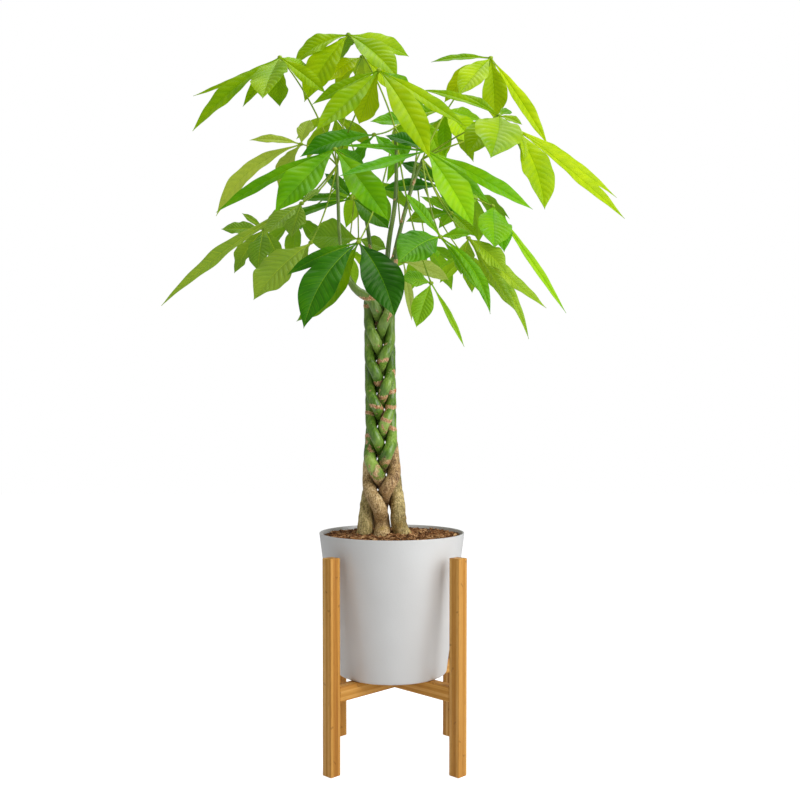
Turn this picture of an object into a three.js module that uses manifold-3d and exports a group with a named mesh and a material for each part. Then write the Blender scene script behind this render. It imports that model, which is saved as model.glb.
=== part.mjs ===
// A money tree: five braided stems in a white pot, on a four-legged wooden stand.
// Millimetres, +Z up. The origin is on the floor, under the middle of the stand.
import * as THREE from 'three';
import { mergeVertices } from 'three/addons/utils/BufferGeometryUtils.js';
import Module from 'manifold-3d';

const wasm = await Module();
wasm.setup();

// ---- driving dimensions --------------------------------------------------------------

const GAP = 0.3;                 // clearance between pieces that touch

const LEG_RADIUS = 148;          // stand axis to the middle of a leg
const LEG_SIDE = 21;
const LEG_HEIGHT = 362;
const BAR_BOTTOM = 122;
const BAR_HEIGHT = 25;
const BAR_WIDTH = 20;
const DOWEL_RADIUS = 4;
const DOWEL_SIDES = 10;
const DOWEL_DEPTH = 12;          // how far a dowel reaches into the leg, and into the bar

const POT_HEIGHT = 246;
const POT_RIM_RADIUS = 127;
const POT_BASE_RADIUS = 96;
const POT_BASE_ROUND = 5;
const POT_WALL = 3.5;
const POT_FLOOR = 5;
const POT_CENTRE_X = -5;
const POT_BOTTOM = BAR_BOTTOM + BAR_HEIGHT + GAP;

const SOIL_BELOW_RIM = 13;
const SOIL_HEAP = 6;             // how much higher the soil stands round the stems

const BRAID_BOTTOM = 486;
const BRAID_TOP = 795;
const BRAID_PITCH = 284;         // height in which a stem comes back to its place
const BRAID_ZERO = 593;          // height at which the first stem passes the middle
const BRAID_HALF_WIDTH = 19;
const BRAID_HALF_DEPTH = 20;
const BRAID_FLARE_TOP = 580;     // below it the braid grows wider, and its stems thicker
const BRAID_FLARE = 0.26;
const ROOT_SPLAY = 1.45;         // how late the stems turn out to their feet
const STEM_RADIUS = 8.4;
const STEM_ROOT_RADIUS = 14;
const STEM_ROOT_DEPTH = 70;      // how deep the stems stand in the soil
const SOIL_LINE = POT_BOTTOM + POT_HEIGHT - SOIL_BELOW_RIM;

const BLADE_THICKNESS = 2;       // at the midrib
const BLADE_FOLD = 0.2;          // rise of a blade's edges, as a part of its half width
const BLADE_ARCH = 0.05;         // rise of a leaflet's middle, as a part of its length
const BLADE_BOW = 0.6;           // how far it rises towards where the leaf faces, and not up
const BLADE_START = 3;           // from the hub's middle, so that its root is well inside
const HUB_RADIUS = 5.5;
const PETIOLE_RADIUS = 1.9;

// ---- solids --------------------------------------------------------------------------

function solidFrom(geometry) {
  const bare = geometry.index ? geometry.toNonIndexed() : geometry.clone();
  bare.deleteAttribute('normal');
  bare.deleteAttribute('uv');
  const merged = mergeVertices(bare, 1e-4);
  return new wasm.Manifold(new wasm.Mesh({
    numProp: 3,
    vertProperties: new Float32Array(merged.attributes.position.array),
    triVerts: new Uint32Array(merged.index.array),
  }));
}

function geometryFrom(solid) {
  const mesh = solid.getMesh();
  const positions = new Float32Array(mesh.numVert * 3);
  for (let i = 0; i < mesh.numVert; i++) {
    for (let axis = 0; axis < 3; axis++) {
      positions[3 * i + axis] = mesh.vertProperties[mesh.numProp * i + axis];
    }
  }
  const geometry = new THREE.BufferGeometry();
  geometry.setAttribute('position', new THREE.BufferAttribute(positions, 3));
  geometry.setIndex(new THREE.BufferAttribute(new Uint32Array(mesh.triVerts), 1));
  geometry.computeVertexNormals();
  return geometry;
}

// A cut can leave a loose scrap: only the largest body is kept.
function largestBody(solid) {
  return solid.decompose().reduce((best, body) => (body.volume() > best.volume() ? body : best));
}

// Skins a row of closed rings, each the same number of points. The first ring is capped,
// and the last is capped too, or drawn together to a tip. The way in which the quads are split
// alternates round the ring, so a thin blade of four points is split alike on both its faces.
function skin(rings, tip = null) {
  const count = rings[0].length;
  const points = tip ? [...rings.flat(), tip] : rings.flat();
  const faces = [];
  for (let r = 0; r + 1 < rings.length; r++) {
    for (let i = 0; i < count; i++) {
      const a = r * count + i;
      const b = r * count + (i + 1) % count;
      if (i % 2) faces.push(a, b, a + count, b, b + count, a + count);
      else faces.push(a, b, b + count, a, b + count, a + count);
    }
  }
  const last = (rings.length - 1) * count;
  for (let i = 1; i + 1 < count; i++) {
    faces.push(0, i + 1, i);
    if (!tip) faces.push(last, last + i, last + i + 1);
  }
  for (let i = 0; tip && i < count; i++) {
    faces.push(last + i, last + (i + 1) % count, last + count);
  }
  const geometry = new THREE.BufferGeometry();
  geometry.setAttribute('position', new THREE.Float32BufferAttribute(
    points.flatMap((p) => [p.x, p.y, p.z]), 3));
  geometry.setIndex(faces);
  return geometry;
}

function ringAbout(centre, across, up, radius, sides) {
  return Array.from({ length: sides }, (_, i) => {
    const angle = (i / sides) * 2 * Math.PI;
    return centre.clone()
      .addScaledVector(across, radius * Math.cos(angle))
      .addScaledVector(up, radius * Math.sin(angle));
  });
}

const smooth = (t) => {
  const s = THREE.MathUtils.clamp(t, 0, 1);
  return s * s * (3 - 2 * s);
};

const plant = new THREE.Group();

function addPiece(name, geometry, color, roughness) {
  const finish = new THREE.MeshStandardMaterial({ color, roughness, metalness: 0 });
  const mesh = new THREE.Mesh(geometry, finish);
  mesh.name = name;
  plant.add(mesh);
}

// ---- stand: four square legs and two half-lapped bars, joined with dowels --------------

const BAMBOO = 0xc98d45;
const DOWEL_WOOD = 0xd8b27a;
const LEG_NAMES = ['front_left', 'front_right', 'back_right', 'back_left'];
const legAngle = (index) => (-135 + 90 * index) * THREE.MathUtils.DEG2RAD;

function dowel(index, extra) {
  const start = LEG_RADIUS - LEG_SIDE / 2 - GAP - DOWEL_DEPTH;
  const length = 2 * DOWEL_DEPTH + GAP + 2 * extra;
  const geometry = new THREE.CylinderGeometry(DOWEL_RADIUS + extra, DOWEL_RADIUS + extra, length, DOWEL_SIDES);
  geometry.rotateZ(-Math.PI / 2);
  geometry.translate(start - extra + length / 2, 0, BAR_BOTTOM + BAR_HEIGHT / 2);
  geometry.rotateZ(legAngle(index));
  return geometry;
}

for (let index = 0; index < 4; index++) {
  const leg = new THREE.BoxGeometry(LEG_SIDE, LEG_SIDE, LEG_HEIGHT);
  leg.translate(LEG_RADIUS, 0, LEG_HEIGHT / 2);
  leg.rotateZ(legAngle(index));
  const bored = solidFrom(leg).subtract(solidFrom(dowel(index, GAP)));
  addPiece(`stand_leg_${LEG_NAMES[index]}`, geometryFrom(bored), BAMBOO, 0.5);
  addPiece(`stand_dowel_${LEG_NAMES[index]}`, dowel(index, 0), DOWEL_WOOD, 0.7);
}

function crossBar(index, notchFrom, notchTo) {
  const length = 2 * (LEG_RADIUS - LEG_SIDE / 2 - GAP);
  const bar = new THREE.BoxGeometry(length, BAR_WIDTH, BAR_HEIGHT);
  bar.translate(0, 0, BAR_BOTTOM + BAR_HEIGHT / 2);
  const notch = new THREE.BoxGeometry(BAR_WIDTH + 2 * GAP, BAR_WIDTH + 2, notchTo - notchFrom);
  notch.translate(0, 0, (notchFrom + notchTo) / 2);
  bar.rotateZ(legAngle(index));
  notch.rotateZ(legAngle(index));
  return solidFrom(bar)
    .subtract(solidFrom(notch))
    .subtract(solidFrom(dowel(index, GAP)))
    .subtract(solidFrom(dowel(index + 2, GAP)));
}

const barMiddle = BAR_BOTTOM + BAR_HEIGHT / 2;
const lowerBar = crossBar(0, barMiddle - GAP / 2, BAR_BOTTOM + BAR_HEIGHT + 1);
const upperBar = crossBar(1, BAR_BOTTOM - 1, barMiddle + GAP / 2);
addPiece('stand_bar_lower', geometryFrom(lowerBar), BAMBOO, 0.5);
addPiece('stand_bar_upper', geometryFrom(upperBar), BAMBOO, 0.5);

// ---- pot: a thin tapered shell, open at the top ---------------------------------------

const potWallRadius = (z) => THREE.MathUtils.lerp(POT_BASE_RADIUS, POT_RIM_RADIUS, z / POT_HEIGHT);

function potProfile() {
  const outer = [
    [0, 0],
    [POT_BASE_RADIUS - POT_BASE_ROUND, 0],
    [potWallRadius(1.5) - 1.5, 1.5],
    [potWallRadius(POT_BASE_ROUND), POT_BASE_ROUND],
    [POT_RIM_RADIUS, POT_HEIGHT],
  ];
  const inner = [
    [POT_RIM_RADIUS - POT_WALL, POT_HEIGHT],
    [potWallRadius(POT_FLOOR) - POT_WALL, POT_FLOOR],
    [0, POT_FLOOR],
  ];
  return [...outer, ...inner].map(([x, z]) => new THREE.Vector2(x, z));
}

const POT_SIDES = 40;
const pot = new THREE.LatheGeometry(potProfile(), POT_SIDES);
pot.rotateX(Math.PI / 2);
pot.translate(POT_CENTRE_X, 0, POT_BOTTOM);
addPiece('pot', geometryFrom(solidFrom(pot)), 0xe9e9ec, 0.25);

// ---- stems: a five-strand braid that spreads into feet below and shoots above ----------

// Each stem: its foot in the soil, and the shoot it carries above the braid.
const STEMS = [
  { foot: [-16, 12], shoot: [[0, -14, 845, 4.2], [3, -15, 880, 3.6], [9, -12, 915, 3.4],
    [28, -8, 985, 3.1], [48, -5, 1040, 2.6]] },
  { foot: [-56, -4], shoot: [[-16, -2, 845, 4.6], [-9, -2, 906, 4.2], [0, 2, 962, 3.8],
    [3, 6, 1030, 3.2], [0, 12, 1100, 2.6]] },
  { foot: [-25, -30], shoot: [[-40, 24, 845, 4.0], [-45, 36, 910, 3.6], [-58, 60, 990, 3.1],
    [-68, 85, 1060, 2.6]] },
  { foot: [12, 32], shoot: [[-70, -14, 818, 6.5], [-87, -12, 856, 3.6], [-94, -10, 896, 3.1],
    [-98, -8, 974, 2.9], [-100, -4, 1030, 2.6]] },
  { foot: [20, -10], shoot: [[-8, 26, 845, 4.0], [5, 42, 910, 3.6], [25, 70, 990, 3.1],
    [38, 96, 1060, 2.6]] },
];

const trunkCentreX = (z) => -21 - 6 * (z - SOIL_LINE) / (BRAID_TOP - SOIL_LINE);
const flare = (z) => 1 + BRAID_FLARE * smooth((BRAID_FLARE_TOP - z) / (BRAID_FLARE_TOP - BRAID_BOTTOM));

function braidPoint(stem, z) {
  const phase = 2 * Math.PI * ((BRAID_ZERO - z) / BRAID_PITCH + stem / STEMS.length);
  const x = flare(z) * BRAID_HALF_WIDTH * (Math.sin(phase) - 0.07 * Math.sin(5 * phase));
  const y = flare(z) * BRAID_HALF_DEPTH * (Math.sin(2 * phase) + 0.4 * Math.sin(4 * phase));
  return new THREE.Vector3(trunkCentreX(z) + x, y, z);
}

const STEM_STEP = 15;               // height between the rings of a stem in the braid
const SHOOT_STEPS = 2;              // rings between two stations of a shoot

// The stations of a stem, from its cut root to the tip of its shoot, as [point, radius].
function stemStations(stem) {
  const { foot, shoot } = STEMS[stem];
  const stations = [];
  const bottom = SOIL_LINE - STEM_ROOT_DEPTH;
  const steps = Math.round((BRAID_TOP - bottom) / STEM_STEP);
  for (let i = 0; i <= steps; i++) {
    const z = THREE.MathUtils.lerp(bottom, BRAID_TOP, i / steps);
    const below = THREE.MathUtils.clamp((BRAID_BOTTOM - z) / (BRAID_BOTTOM - SOIL_LINE), 0, 1);
    const spread = below ** ROOT_SPLAY;
    const point = braidPoint(stem, z).lerp(new THREE.Vector3(foot[0], foot[1], z), spread);
    stations.push([point, THREE.MathUtils.lerp(STEM_RADIUS * flare(z), STEM_ROOT_RADIUS, spread)]);
  }
  const path = new THREE.CatmullRomCurve3(
    [stations.at(-1)[0], ...shoot.map(([x, y, z]) => new THREE.Vector3(x, y, z))]);
  const radii = [STEM_RADIUS, ...shoot.map((station) => station[3])];
  for (let i = 1; i <= SHOOT_STEPS * shoot.length; i++) {
    const t = i / (SHOOT_STEPS * shoot.length);
    const k = Math.min(Math.floor((i - 1) / SHOOT_STEPS), shoot.length - 1);
    const radius = THREE.MathUtils.lerp(radii[k], radii[k + 1], i / SHOOT_STEPS - k);
    stations.push([path.getPoint(t), radius]);
  }
  return stations;
}

const STEM_SIDES = 7;

function tubeThrough(stations, extra, sides) {
  const rings = stations.map(([point, radius], i) => {
    const before = stations[Math.max(i - 1, 0)][0];
    const after = stations[Math.min(i + 1, stations.length - 1)][0];
    const along = after.clone().sub(before).normalize();
    const across = new THREE.Vector3(0, 1, 0).cross(along).normalize();
    const up = along.clone().cross(across);
    return ringAbout(point, across, up, radius + extra, sides);
  });
  return skin(rings);
}

const stems = STEMS.map((_, index) => {
  const stations = stemStations(index);
  return {
    stations,
    body: solidFrom(tubeThrough(stations, 0, STEM_SIDES)),
    room: solidFrom(tubeThrough(stations, GAP, STEM_SIDES)),
  };
});

stems.forEach(({ body }, index) => {
  addPiece(`stem_${index + 1}`, geometryFrom(body), 0x6f8a3e, 0.7);
});

// ---- soil: fills the pot, with a lumpy heaped top and a plain hole for each stem -------

const SOIL_RINGS = 5;
const SOIL_SIDES = 30;

function soilTop(radius, angle, edge) {
  const nearStems = 1 - radius / edge;
  const lumps = Math.sin(5 * angle + radius / 9) + Math.sin(9 * angle - radius / 6);
  return SOIL_LINE + SOIL_HEAP * nearStems * nearStems + 1.2 * lumps * (radius / edge);
}

function soilBody() {
  const depthToBottom = SOIL_LINE - POT_BOTTOM;
  const inside = (z) => potWallRadius(z) - POT_WALL - GAP;
  const edge = inside(depthToBottom) - 1;
  const points = [new THREE.Vector3(0, 0, POT_BOTTOM + POT_FLOOR + GAP)];
  const ring = (radius, height) => {
    for (let i = 0; i < SOIL_SIDES; i++) {
      const angle = (i / SOIL_SIDES) * 2 * Math.PI;
      points.push(new THREE.Vector3(radius * Math.cos(angle), radius * Math.sin(angle), height(angle)));
    }
  };
  ring(inside(POT_FLOOR + GAP) - 1, () => POT_BOTTOM + POT_FLOOR + GAP);
  for (let r = SOIL_RINGS; r >= 1; r--) {
    const radius = edge * r / SOIL_RINGS;
    ring(radius, (angle) => soilTop(radius, angle, edge));
  }
  points.push(new THREE.Vector3(0, 0, soilTop(0, 0, edge)));
  const faces = [];
  for (let i = 0; i < SOIL_SIDES; i++) {
    const next = (i + 1) % SOIL_SIDES;
    faces.push(0, 1 + next, 1 + i);
    for (let r = 0; r < SOIL_RINGS; r++) {
      const a = 1 + r * SOIL_SIDES + i;
      const b = 1 + r * SOIL_SIDES + next;
      faces.push(a, b, b + SOIL_SIDES, a, b + SOIL_SIDES, a + SOIL_SIDES);
    }
    const top = 1 + SOIL_RINGS * SOIL_SIDES;
    faces.push(top + i, top + next, points.length - 1);
  }
  const geometry = new THREE.BufferGeometry();
  geometry.setAttribute('position', new THREE.Float32BufferAttribute(
    points.flatMap((p) => [p.x, p.y, p.z]), 3));
  geometry.setIndex(faces);
  geometry.translate(POT_CENTRE_X, 0, 0);
  return solidFrom(geometry);
}

const soil = stems.reduce((body, stem) => body.subtract(stem.room), soilBody());
addPiece('soil', geometryFrom(soil), 0x4a2d1c, 0.95);

// ---- leaves: a petiole, a hub, and leaflets that spread from it ------------------------

// Six leaflets about a hub, the longest towards heading and the shortest beside the petiole.
function whorl(heading, reach) {
  const PARTS = [
    { turn: 28, length: 1.0, droop: 42 },
    { turn: -32, length: 0.96, droop: 45 },
    { turn: 88, length: 0.86, droop: 34 },
    { turn: -92, length: 0.88, droop: 36 },
    { turn: 148, length: 0.62, droop: 28 },
    { turn: -150, length: 0.6, droop: 30 },
  ];
  return PARTS.map(({ turn, length, droop }) => {
    const bearing = (heading + turn) * THREE.MathUtils.DEG2RAD;
    const fall = droop * THREE.MathUtils.DEG2RAD;
    const flat = reach * length * Math.cos(fall);
    return [flat * Math.cos(bearing), flat * Math.sin(bearing), -reach * length * Math.sin(fall),
      0.33 * reach * length];
  });
}

// Each leaf grows from a stem's shoot at the height root, and opens at hub towards faces.
// A leaflet is its tip, measured from the hub, and its width. A fourth number is its own arch,
// and a fifth how far its middle swings to the left of its way, both as parts of its length.
const LEAVES = [
  // the crown, top left to top right
  { stem: 1, root: 1072, hub: [-80, 0, 1255], faces: [0, -1, 0.7], leaflets: [
    [-95, 10, -45, 44, 0.08], [-75, -15, -120, 58], [85, -60, -95, 52], [105, 20, -30, 40],
    [-20, 110, -5, 40], [45, 115, -5, 40]] },
  { stem: 3, root: 1028, hub: [-60, 90, 1250], faces: [-0.2, -1, 0.7], leaflets: [
    [-65, -40, -60, 50], [-50, 20, -55, 34], [60, 10, -60, 32], [5, 110, -10, 44]] },
  { stem: 3, root: 940, hub: [-195, -30, 1205], faces: [-0.3, -1, 0.6], leaflets: [
    [-145, -20, -130, 38, 0.05], [-160, 60, -45, 14, -0.02], [-15, -110, -105, 62, 0.03],
    [-5, 40, -70, 48], [-65, 10, -80, 22, 0.02], [80, -30, -70, 26, 0.02],
    [50, 40, -5, 24, 0.02]] },
  { stem: 3, root: 905, hub: [-25, -110, 1155], faces: [0, -1, 0.6], leaflets: [
    [-110, 15, -50, 26, 0.02], [-100, -45, -110, 46, -0.01], [-35, 55, -70, 60, 0.02],
    [80, -65, -160, 48, 0.05], [140, 0, -90, 28, 0.01], [75, 60, -40, 46, 0.02]] },
  { stem: 0, root: 1022, hub: [170, 40, 1230], faces: [0.1, -1, 0.6], leaflets: [
    [-105, 20, 0, 18, 0.04], [-60, -60, -85, 48, 0.03], [-80, 40, -65, 44, 0.05],
    [10, 30, -100, 48, 0.03], [100, -10, -155, 28, 0.02], [-5, 120, 0, 36, 0.02]] },
  { stem: 1, root: 1060, hub: [90, 60, 1145], faces: [0, -1, 0.7], leaflets: [
    [-70, 20, -10, 34], [55, -35, -75, 50, 0.02], [70, 30, -10, 34, 0.02], [0, 25, -75, 26]] },
  { stem: 0, root: 995, hub: [170, -100, 1085], faces: [0.1, -1, 0.6], leaflets: [
    [-25, -120, -100, 76, 0.05, 0.03], [-125, 10, 45, 17, 0.05], [-60, 30, 45, 18, 0.03],
    [35, -20, -20, 16], [-55, -40, -75, 50], [25, 40, 20, 18]] },
  { stem: 0, root: 975, hub: [205, -20, 1090], faces: [0.3, -1, 0.7], leaflets: [
    [190, 0, -155, 30, 0.02], [155, 60, -70, 24, 0.01], [185, 40, -110, 24, 0.02],
    [45, -50, -150, 60, 0.03, 0.05], [10, -50, -70, 14, 0.02, 0.08], [25, 110, -10, 40]] },

  // the middle tier
  { stem: 3, root: 1015, hub: [-170, 80, 1090], faces: [-0.3, -1, 0.6], leaflets: [
    [-95, 10, 10, 20, 0.05], [15, 20, 50, 32], [-155, 0, -130, 42, 0.07, -0.06],
    [-45, 30, -70, 42], [-30, 100, -10, 36]] },
  { stem: 3, root: 1010, hub: [-95, -140, 1020], faces: [0, -1, 0.6], leaflets: [
    [-190, 0, -100, 26, 0.03], [-90, -50, -110, 56, 0.02], [85, -60, -125, 52, 0.02],
    [50, 50, -20, 30]] },
  { stem: 1, root: 1050, hub: [-35, -30, 1075], faces: [-0.1, -1, 0.7], leaflets: [
    [-125, -10, -40, 50, 0.06], [35, -30, -45, 22], [-40, 40, -55, 30]] },
  { stem: 1, root: 925, hub: [50, -150, 1015], faces: [0.1, -1, 0.7], leaflets: [
    [-135, -60, -55, 22, 0], [-135, 25, 15, 14, 0.01], [-65, 40, 35, 30, 0.05],
    [70, -55, -130, 52, 0.03], [170, 10, -90, 32, 0.02], [105, 40, -75, 26, 0.02],
    [60, 25, -105, 40, 0.02]] },
  { stem: 0, root: 898, hub: [100, 30, 955], faces: [0, -1, 0.6], leaflets: [
    [-80, 0, -15, 34], [-55, -20, 25, 14, 0.02], [-35, 20, 35, 20, 0.02],
    [40, -25, -45, 36, 0.02], [30, 50, -15, 30, 0.02]] },
  { stem: 0, root: 915, hub: [165, -50, 950], faces: [0.3, -1, 0.5], leaflets: [
    [-5, -85, -85, 58, 0.02], [15, -45, -85, 40, 0.04], [125, 0, -180, 16, 0.01],
    [5, 80, -30, 30, 0.02]] },

  // the lower tier, right of the trunk
  { stem: 0, root: 870, hub: [70, -200, 870], faces: [0.1, -1, 0.6], leaflets: [
    [-65, -60, -50, 60, 0.08], [-55, -10, 65, 20, 0.02], [45, -20, 0, 22, 0.04],
    [75, -20, -120, 22, 0.02, 0.1], [60, 15, -80, 18, 0.02]] },
  { stem: 0, root: 882, hub: [120, -110, 885], faces: [0.3, -1, 0.6], leaflets: [
    [60, -20, -60, 40], [125, -15, -115, 28, -0.02], [80, 25, -115, 32, 0],
    [105, 45, -160, 18, 0.03, 0.05], [-10, 30, -55, 38]] },
  { stem: 1, root: 860, hub: [60, -90, 815], faces: [0.1, -1, 0.6], leaflets: [
    [-50, -15, 5, 32], [-25, -25, -75, 36, 0.03], [55, 0, -105, 11, 0.02]] },
  { stem: 1, root: 878, hub: [15, 0, 865], faces: [0.2, -1, 0.7], leaflets: [
    [80, 10, -30, 36, 0.03], [15, 20, -100, 16, 0.02]] },

  // the lower tier, left of the trunk
  { stem: 3, root: 868, hub: [-230, 20, 925], faces: [-0.4, -1, 0.6], leaflets: [
    [-40, 10, 30, 12, 0.02], [-75, 0, 0, 30, 0.01], [-5, -40, -80, 44], [-55, 15, -75, 40],
    [25, 20, -60, 30]] },
  { stem: 3, root: 888, hub: [-155, -70, 950], faces: [-0.4, -1, 0.7], leaflets: [
    [-235, 0, -170, 30, 0.04], [-60, -30, -60, 44, 0.03], [-15, -20, -60, 44, 0.03],
    [30, 30, 30, 20]] },
  { stem: 2, root: 890, hub: [-75, 25, 980], faces: [-0.2, -1, 0.7], leaflets: [
    [-150, 0, -50, 22, 0.02], [-50, 25, 50, 26, 0.02], [65, -35, -60, 44, 0.02],
    [-100, 30, 5, 20, 0.02]] },
  { stem: 3, root: 850, hub: [-140, -70, 885], faces: [-0.3, -1, 0.5], leaflets: [
    [-90, -40, -100, 68, 0.05], [-20, 30, -35, 30]] },
  { stem: 2, root: 870, hub: [-65, 60, 915], faces: [0, -1, 0.4], leaflets: [
    [-90, 0, 5, 66, 0.02], [50, -10, -20, 32, 0.02]] },
  { stem: 1, root: 906, hub: [-55, -210, 860], faces: [0, -1, 0.5], leaflets: [
    [-80, -45, -135, 56, 0.06, -0.05], [-110, 0, -50, 22, 0.04], [55, -60, -120, 62, 0.05, 0.03],
    [-100, 50, -115, 58, 0.02, 0.08], [25, 55, -60, 42]] },

  // behind the shoots
  { stem: 4, root: 970, hub: [90, 90, 1015], faces: [0, -1, 0.6], leaflets: [
    [-115, 0, -5, 30, 0.05], [-80, 40, 55, 36], [55, 0, -25, 26], [15, -10, -60, 34]] },
  { stem: 4, root: 1050, hub: [55, 140, 1155], faces: [0, -1, 0.6], leaflets: [
    [-60, -20, -60, 44], [35, -5, -95, 40], [-100, -30, -15, 36, 0], [-70, -40, -130, 30]] },

  // the back of the plant, where the leaflets spread evenly about the hub
  { stem: 2, root: 1050, hub: [-115, 175, 1170], faces: [-0.3, 0.4, 1], leaflets: whorl(110, 105) },
  { stem: 4, root: 1035, hub: [105, 205, 1175], faces: [0.3, 0.4, 1], leaflets: whorl(75, 105) },
  { stem: 2, root: 1010, hub: [-50, 190, 1055], faces: [0, 0.5, 1], leaflets: whorl(95, 120) },
  { stem: 4, root: 995, hub: [150, 175, 1025], faces: [0.4, 0.3, 1], leaflets: whorl(50, 120) },
  { stem: 2, root: 950, hub: [-185, 150, 970], faces: [-0.4, 0.3, 1], leaflets: whorl(135, 110) },
  { stem: 4, root: 935, hub: [60, 190, 930], faces: [0.1, 0.5, 1], leaflets: whorl(80, 120) },
  { stem: 2, root: 845, hub: [-90, 180, 915], faces: [-0.3, 0.5, 1], leaflets: whorl(115, 100) },
  { stem: 4, root: 900, hub: [130, 120, 895], faces: [0.4, 0.4, 1], leaflets: whorl(45, 90) },
];

// Half width and thickness along a leaflet, as parts of the whole, from root to tip.
const BLADE_STATIONS = [
  { t: 0.13, width: 0.1, thick: 1.1 },
  { t: 0.36, width: 0.84, thick: 1.0 },
  { t: 0.6, width: 1.0, thick: 0.8 },
  { t: 0.84, width: 0.56, thick: 0.6 },
];

function leafletSolid(hub, faces, [dx, dy, dz, width, arch = BLADE_ARCH, swing = 0]) {
  const chord = new THREE.Vector3(dx, dy, dz);
  const length = chord.length();
  const rise = new THREE.Vector3(0, 0, 1).addScaledVector(faces, BLADE_BOW);
  rise.projectOnPlane(chord.clone().normalize()).normalize();
  const aside = faces.clone().cross(chord).normalize();
  const bend = hub.clone()
    .addScaledVector(chord, 0.5)
    .addScaledVector(rise, 2 * arch * length)
    .addScaledVector(aside, 2 * swing * length);
  const curve = new THREE.QuadraticBezierCurve3(hub, bend, hub.clone().add(chord));
  const section = (t, halfWidth, thickness) => {
    const along = curve.getTangent(t);
    const across = faces.clone().cross(along).normalize();
    const up = along.clone().cross(across);
    const middle = curve.getPoint(t);
    const edgeRise = BLADE_FOLD * halfWidth;
    const at = (sideways, height) => middle.clone()
      .addScaledVector(across, sideways)
      .addScaledVector(up, height);
    return [at(-halfWidth, edgeRise), at(0, -thickness / 2), at(halfWidth, edgeRise), at(0, thickness / 2)];
  };
  const rings = [section(BLADE_START / length, 1.2, BLADE_THICKNESS)];
  for (const { t, width: part, thick } of BLADE_STATIONS) {
    rings.push(section(t, part * width / 2, thick * BLADE_THICKNESS));
  }
  return solidFrom(skin(rings, hub.clone().add(chord)));
}

function pointOnStem(index, z) {
  const { stations } = stems[index];
  const above = stations.findIndex(([point]) => point.z >= z);
  const [low, high] = [stations[above - 1][0], stations[above][0]];
  return low.clone().lerp(high, (z - low.z) / (high.z - low.z));
}

const PETIOLE_STEPS = 4;
const PETIOLE_SIDES = 4;

function petioleSolid(root, hub) {
  const flat = new THREE.Vector3(hub.x - root.x, hub.y - root.y, 0);
  const knee = root.clone().addScaledVector(flat, 0.38);
  knee.z = THREE.MathUtils.lerp(root.z, hub.z, 0.62);
  const curve = new THREE.QuadraticBezierCurve3(root, knee, hub);
  const across = new THREE.Vector3(-flat.y, flat.x, 0).normalize();
  const rings = [];
  for (let i = 0; i <= PETIOLE_STEPS; i++) {
    const t = i / PETIOLE_STEPS;
    const up = curve.getTangent(t).cross(across);
    rings.push(ringAbout(curve.getPoint(t), across, up, PETIOLE_RADIUS * (1.15 - 0.3 * t), PETIOLE_SIDES));
  }
  return solidFrom(skin(rings));
}

LEAVES.forEach(({ stem, root, hub, faces, leaflets }, index) => {
  const middle = new THREE.Vector3(...hub);
  const knob = new THREE.OctahedronGeometry(HUB_RADIUS, 0);
  knob.translate(...hub);
  let leaf = petioleSolid(pointOnStem(stem, root), middle).add(solidFrom(knob));
  for (const leaflet of leaflets) {
    leaf = leaf.add(leafletSolid(middle, new THREE.Vector3(...faces), leaflet));
  }
  for (const { room } of stems) {
    leaf = leaf.subtract(room);
  }
  leaf = largestBody(leaf);
  addPiece(`leaf_${String(index + 1).padStart(2, '0')}`, geometryFrom(leaf), 0x5fae1f, 0.45);
});

export default plant;
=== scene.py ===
# A money tree: five braided stems in a white pot on a bamboo stand, finished around its solids.
# Metres, +Z up. The origin is on the floor, under the middle of the stand.
import math
import random

import bpy
import numpy as np
from mathutils import Euler, Matrix, Vector, noise


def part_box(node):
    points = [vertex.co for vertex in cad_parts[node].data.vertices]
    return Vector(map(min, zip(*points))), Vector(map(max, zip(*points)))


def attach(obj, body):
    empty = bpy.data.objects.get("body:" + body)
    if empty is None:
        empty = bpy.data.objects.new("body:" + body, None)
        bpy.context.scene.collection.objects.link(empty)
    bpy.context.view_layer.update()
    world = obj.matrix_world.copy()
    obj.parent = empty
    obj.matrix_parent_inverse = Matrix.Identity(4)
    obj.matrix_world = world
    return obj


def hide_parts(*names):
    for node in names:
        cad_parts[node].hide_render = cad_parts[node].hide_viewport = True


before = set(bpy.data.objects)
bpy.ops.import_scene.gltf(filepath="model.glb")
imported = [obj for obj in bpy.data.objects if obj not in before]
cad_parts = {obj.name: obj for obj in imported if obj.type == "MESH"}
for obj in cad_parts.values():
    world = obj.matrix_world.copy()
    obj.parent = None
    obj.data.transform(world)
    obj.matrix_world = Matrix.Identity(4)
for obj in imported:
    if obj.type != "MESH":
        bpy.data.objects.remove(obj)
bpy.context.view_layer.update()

# ---- studio: camera, lamps and floor ---------------------------------------------------------
# The plant stands on a pale floor in a white room, seen from in front at the height of its braid.
# A large soft lamp on the right is the main light, and weaker ones fill in from the left and above.

CAMERA_PLACE = (0, -1.7, 0.588)
CAMERA_DIP = 0.03                # radians below level
IMAGE_SIDE = 800                 # the picture's side in pixels, as are the next two
FOCAL_LENGTH = 972
CAMERA_AXIS = (394.7, 450)
SENSOR = 36
ROOM_LIGHT = 0.27
LAMPS = (
    # place, aim, size, power
    ((2.2, -1.6, 1.8), (0, 0, 0.75), 2.8, 81),
    ((-1.9, -1.5, 1.3), (0, 0, 0.7), 1.6, 3),
    ((0.2, 0.1, 2.7), (0, 0, 0.9), 1.6, 20),
)

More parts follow.
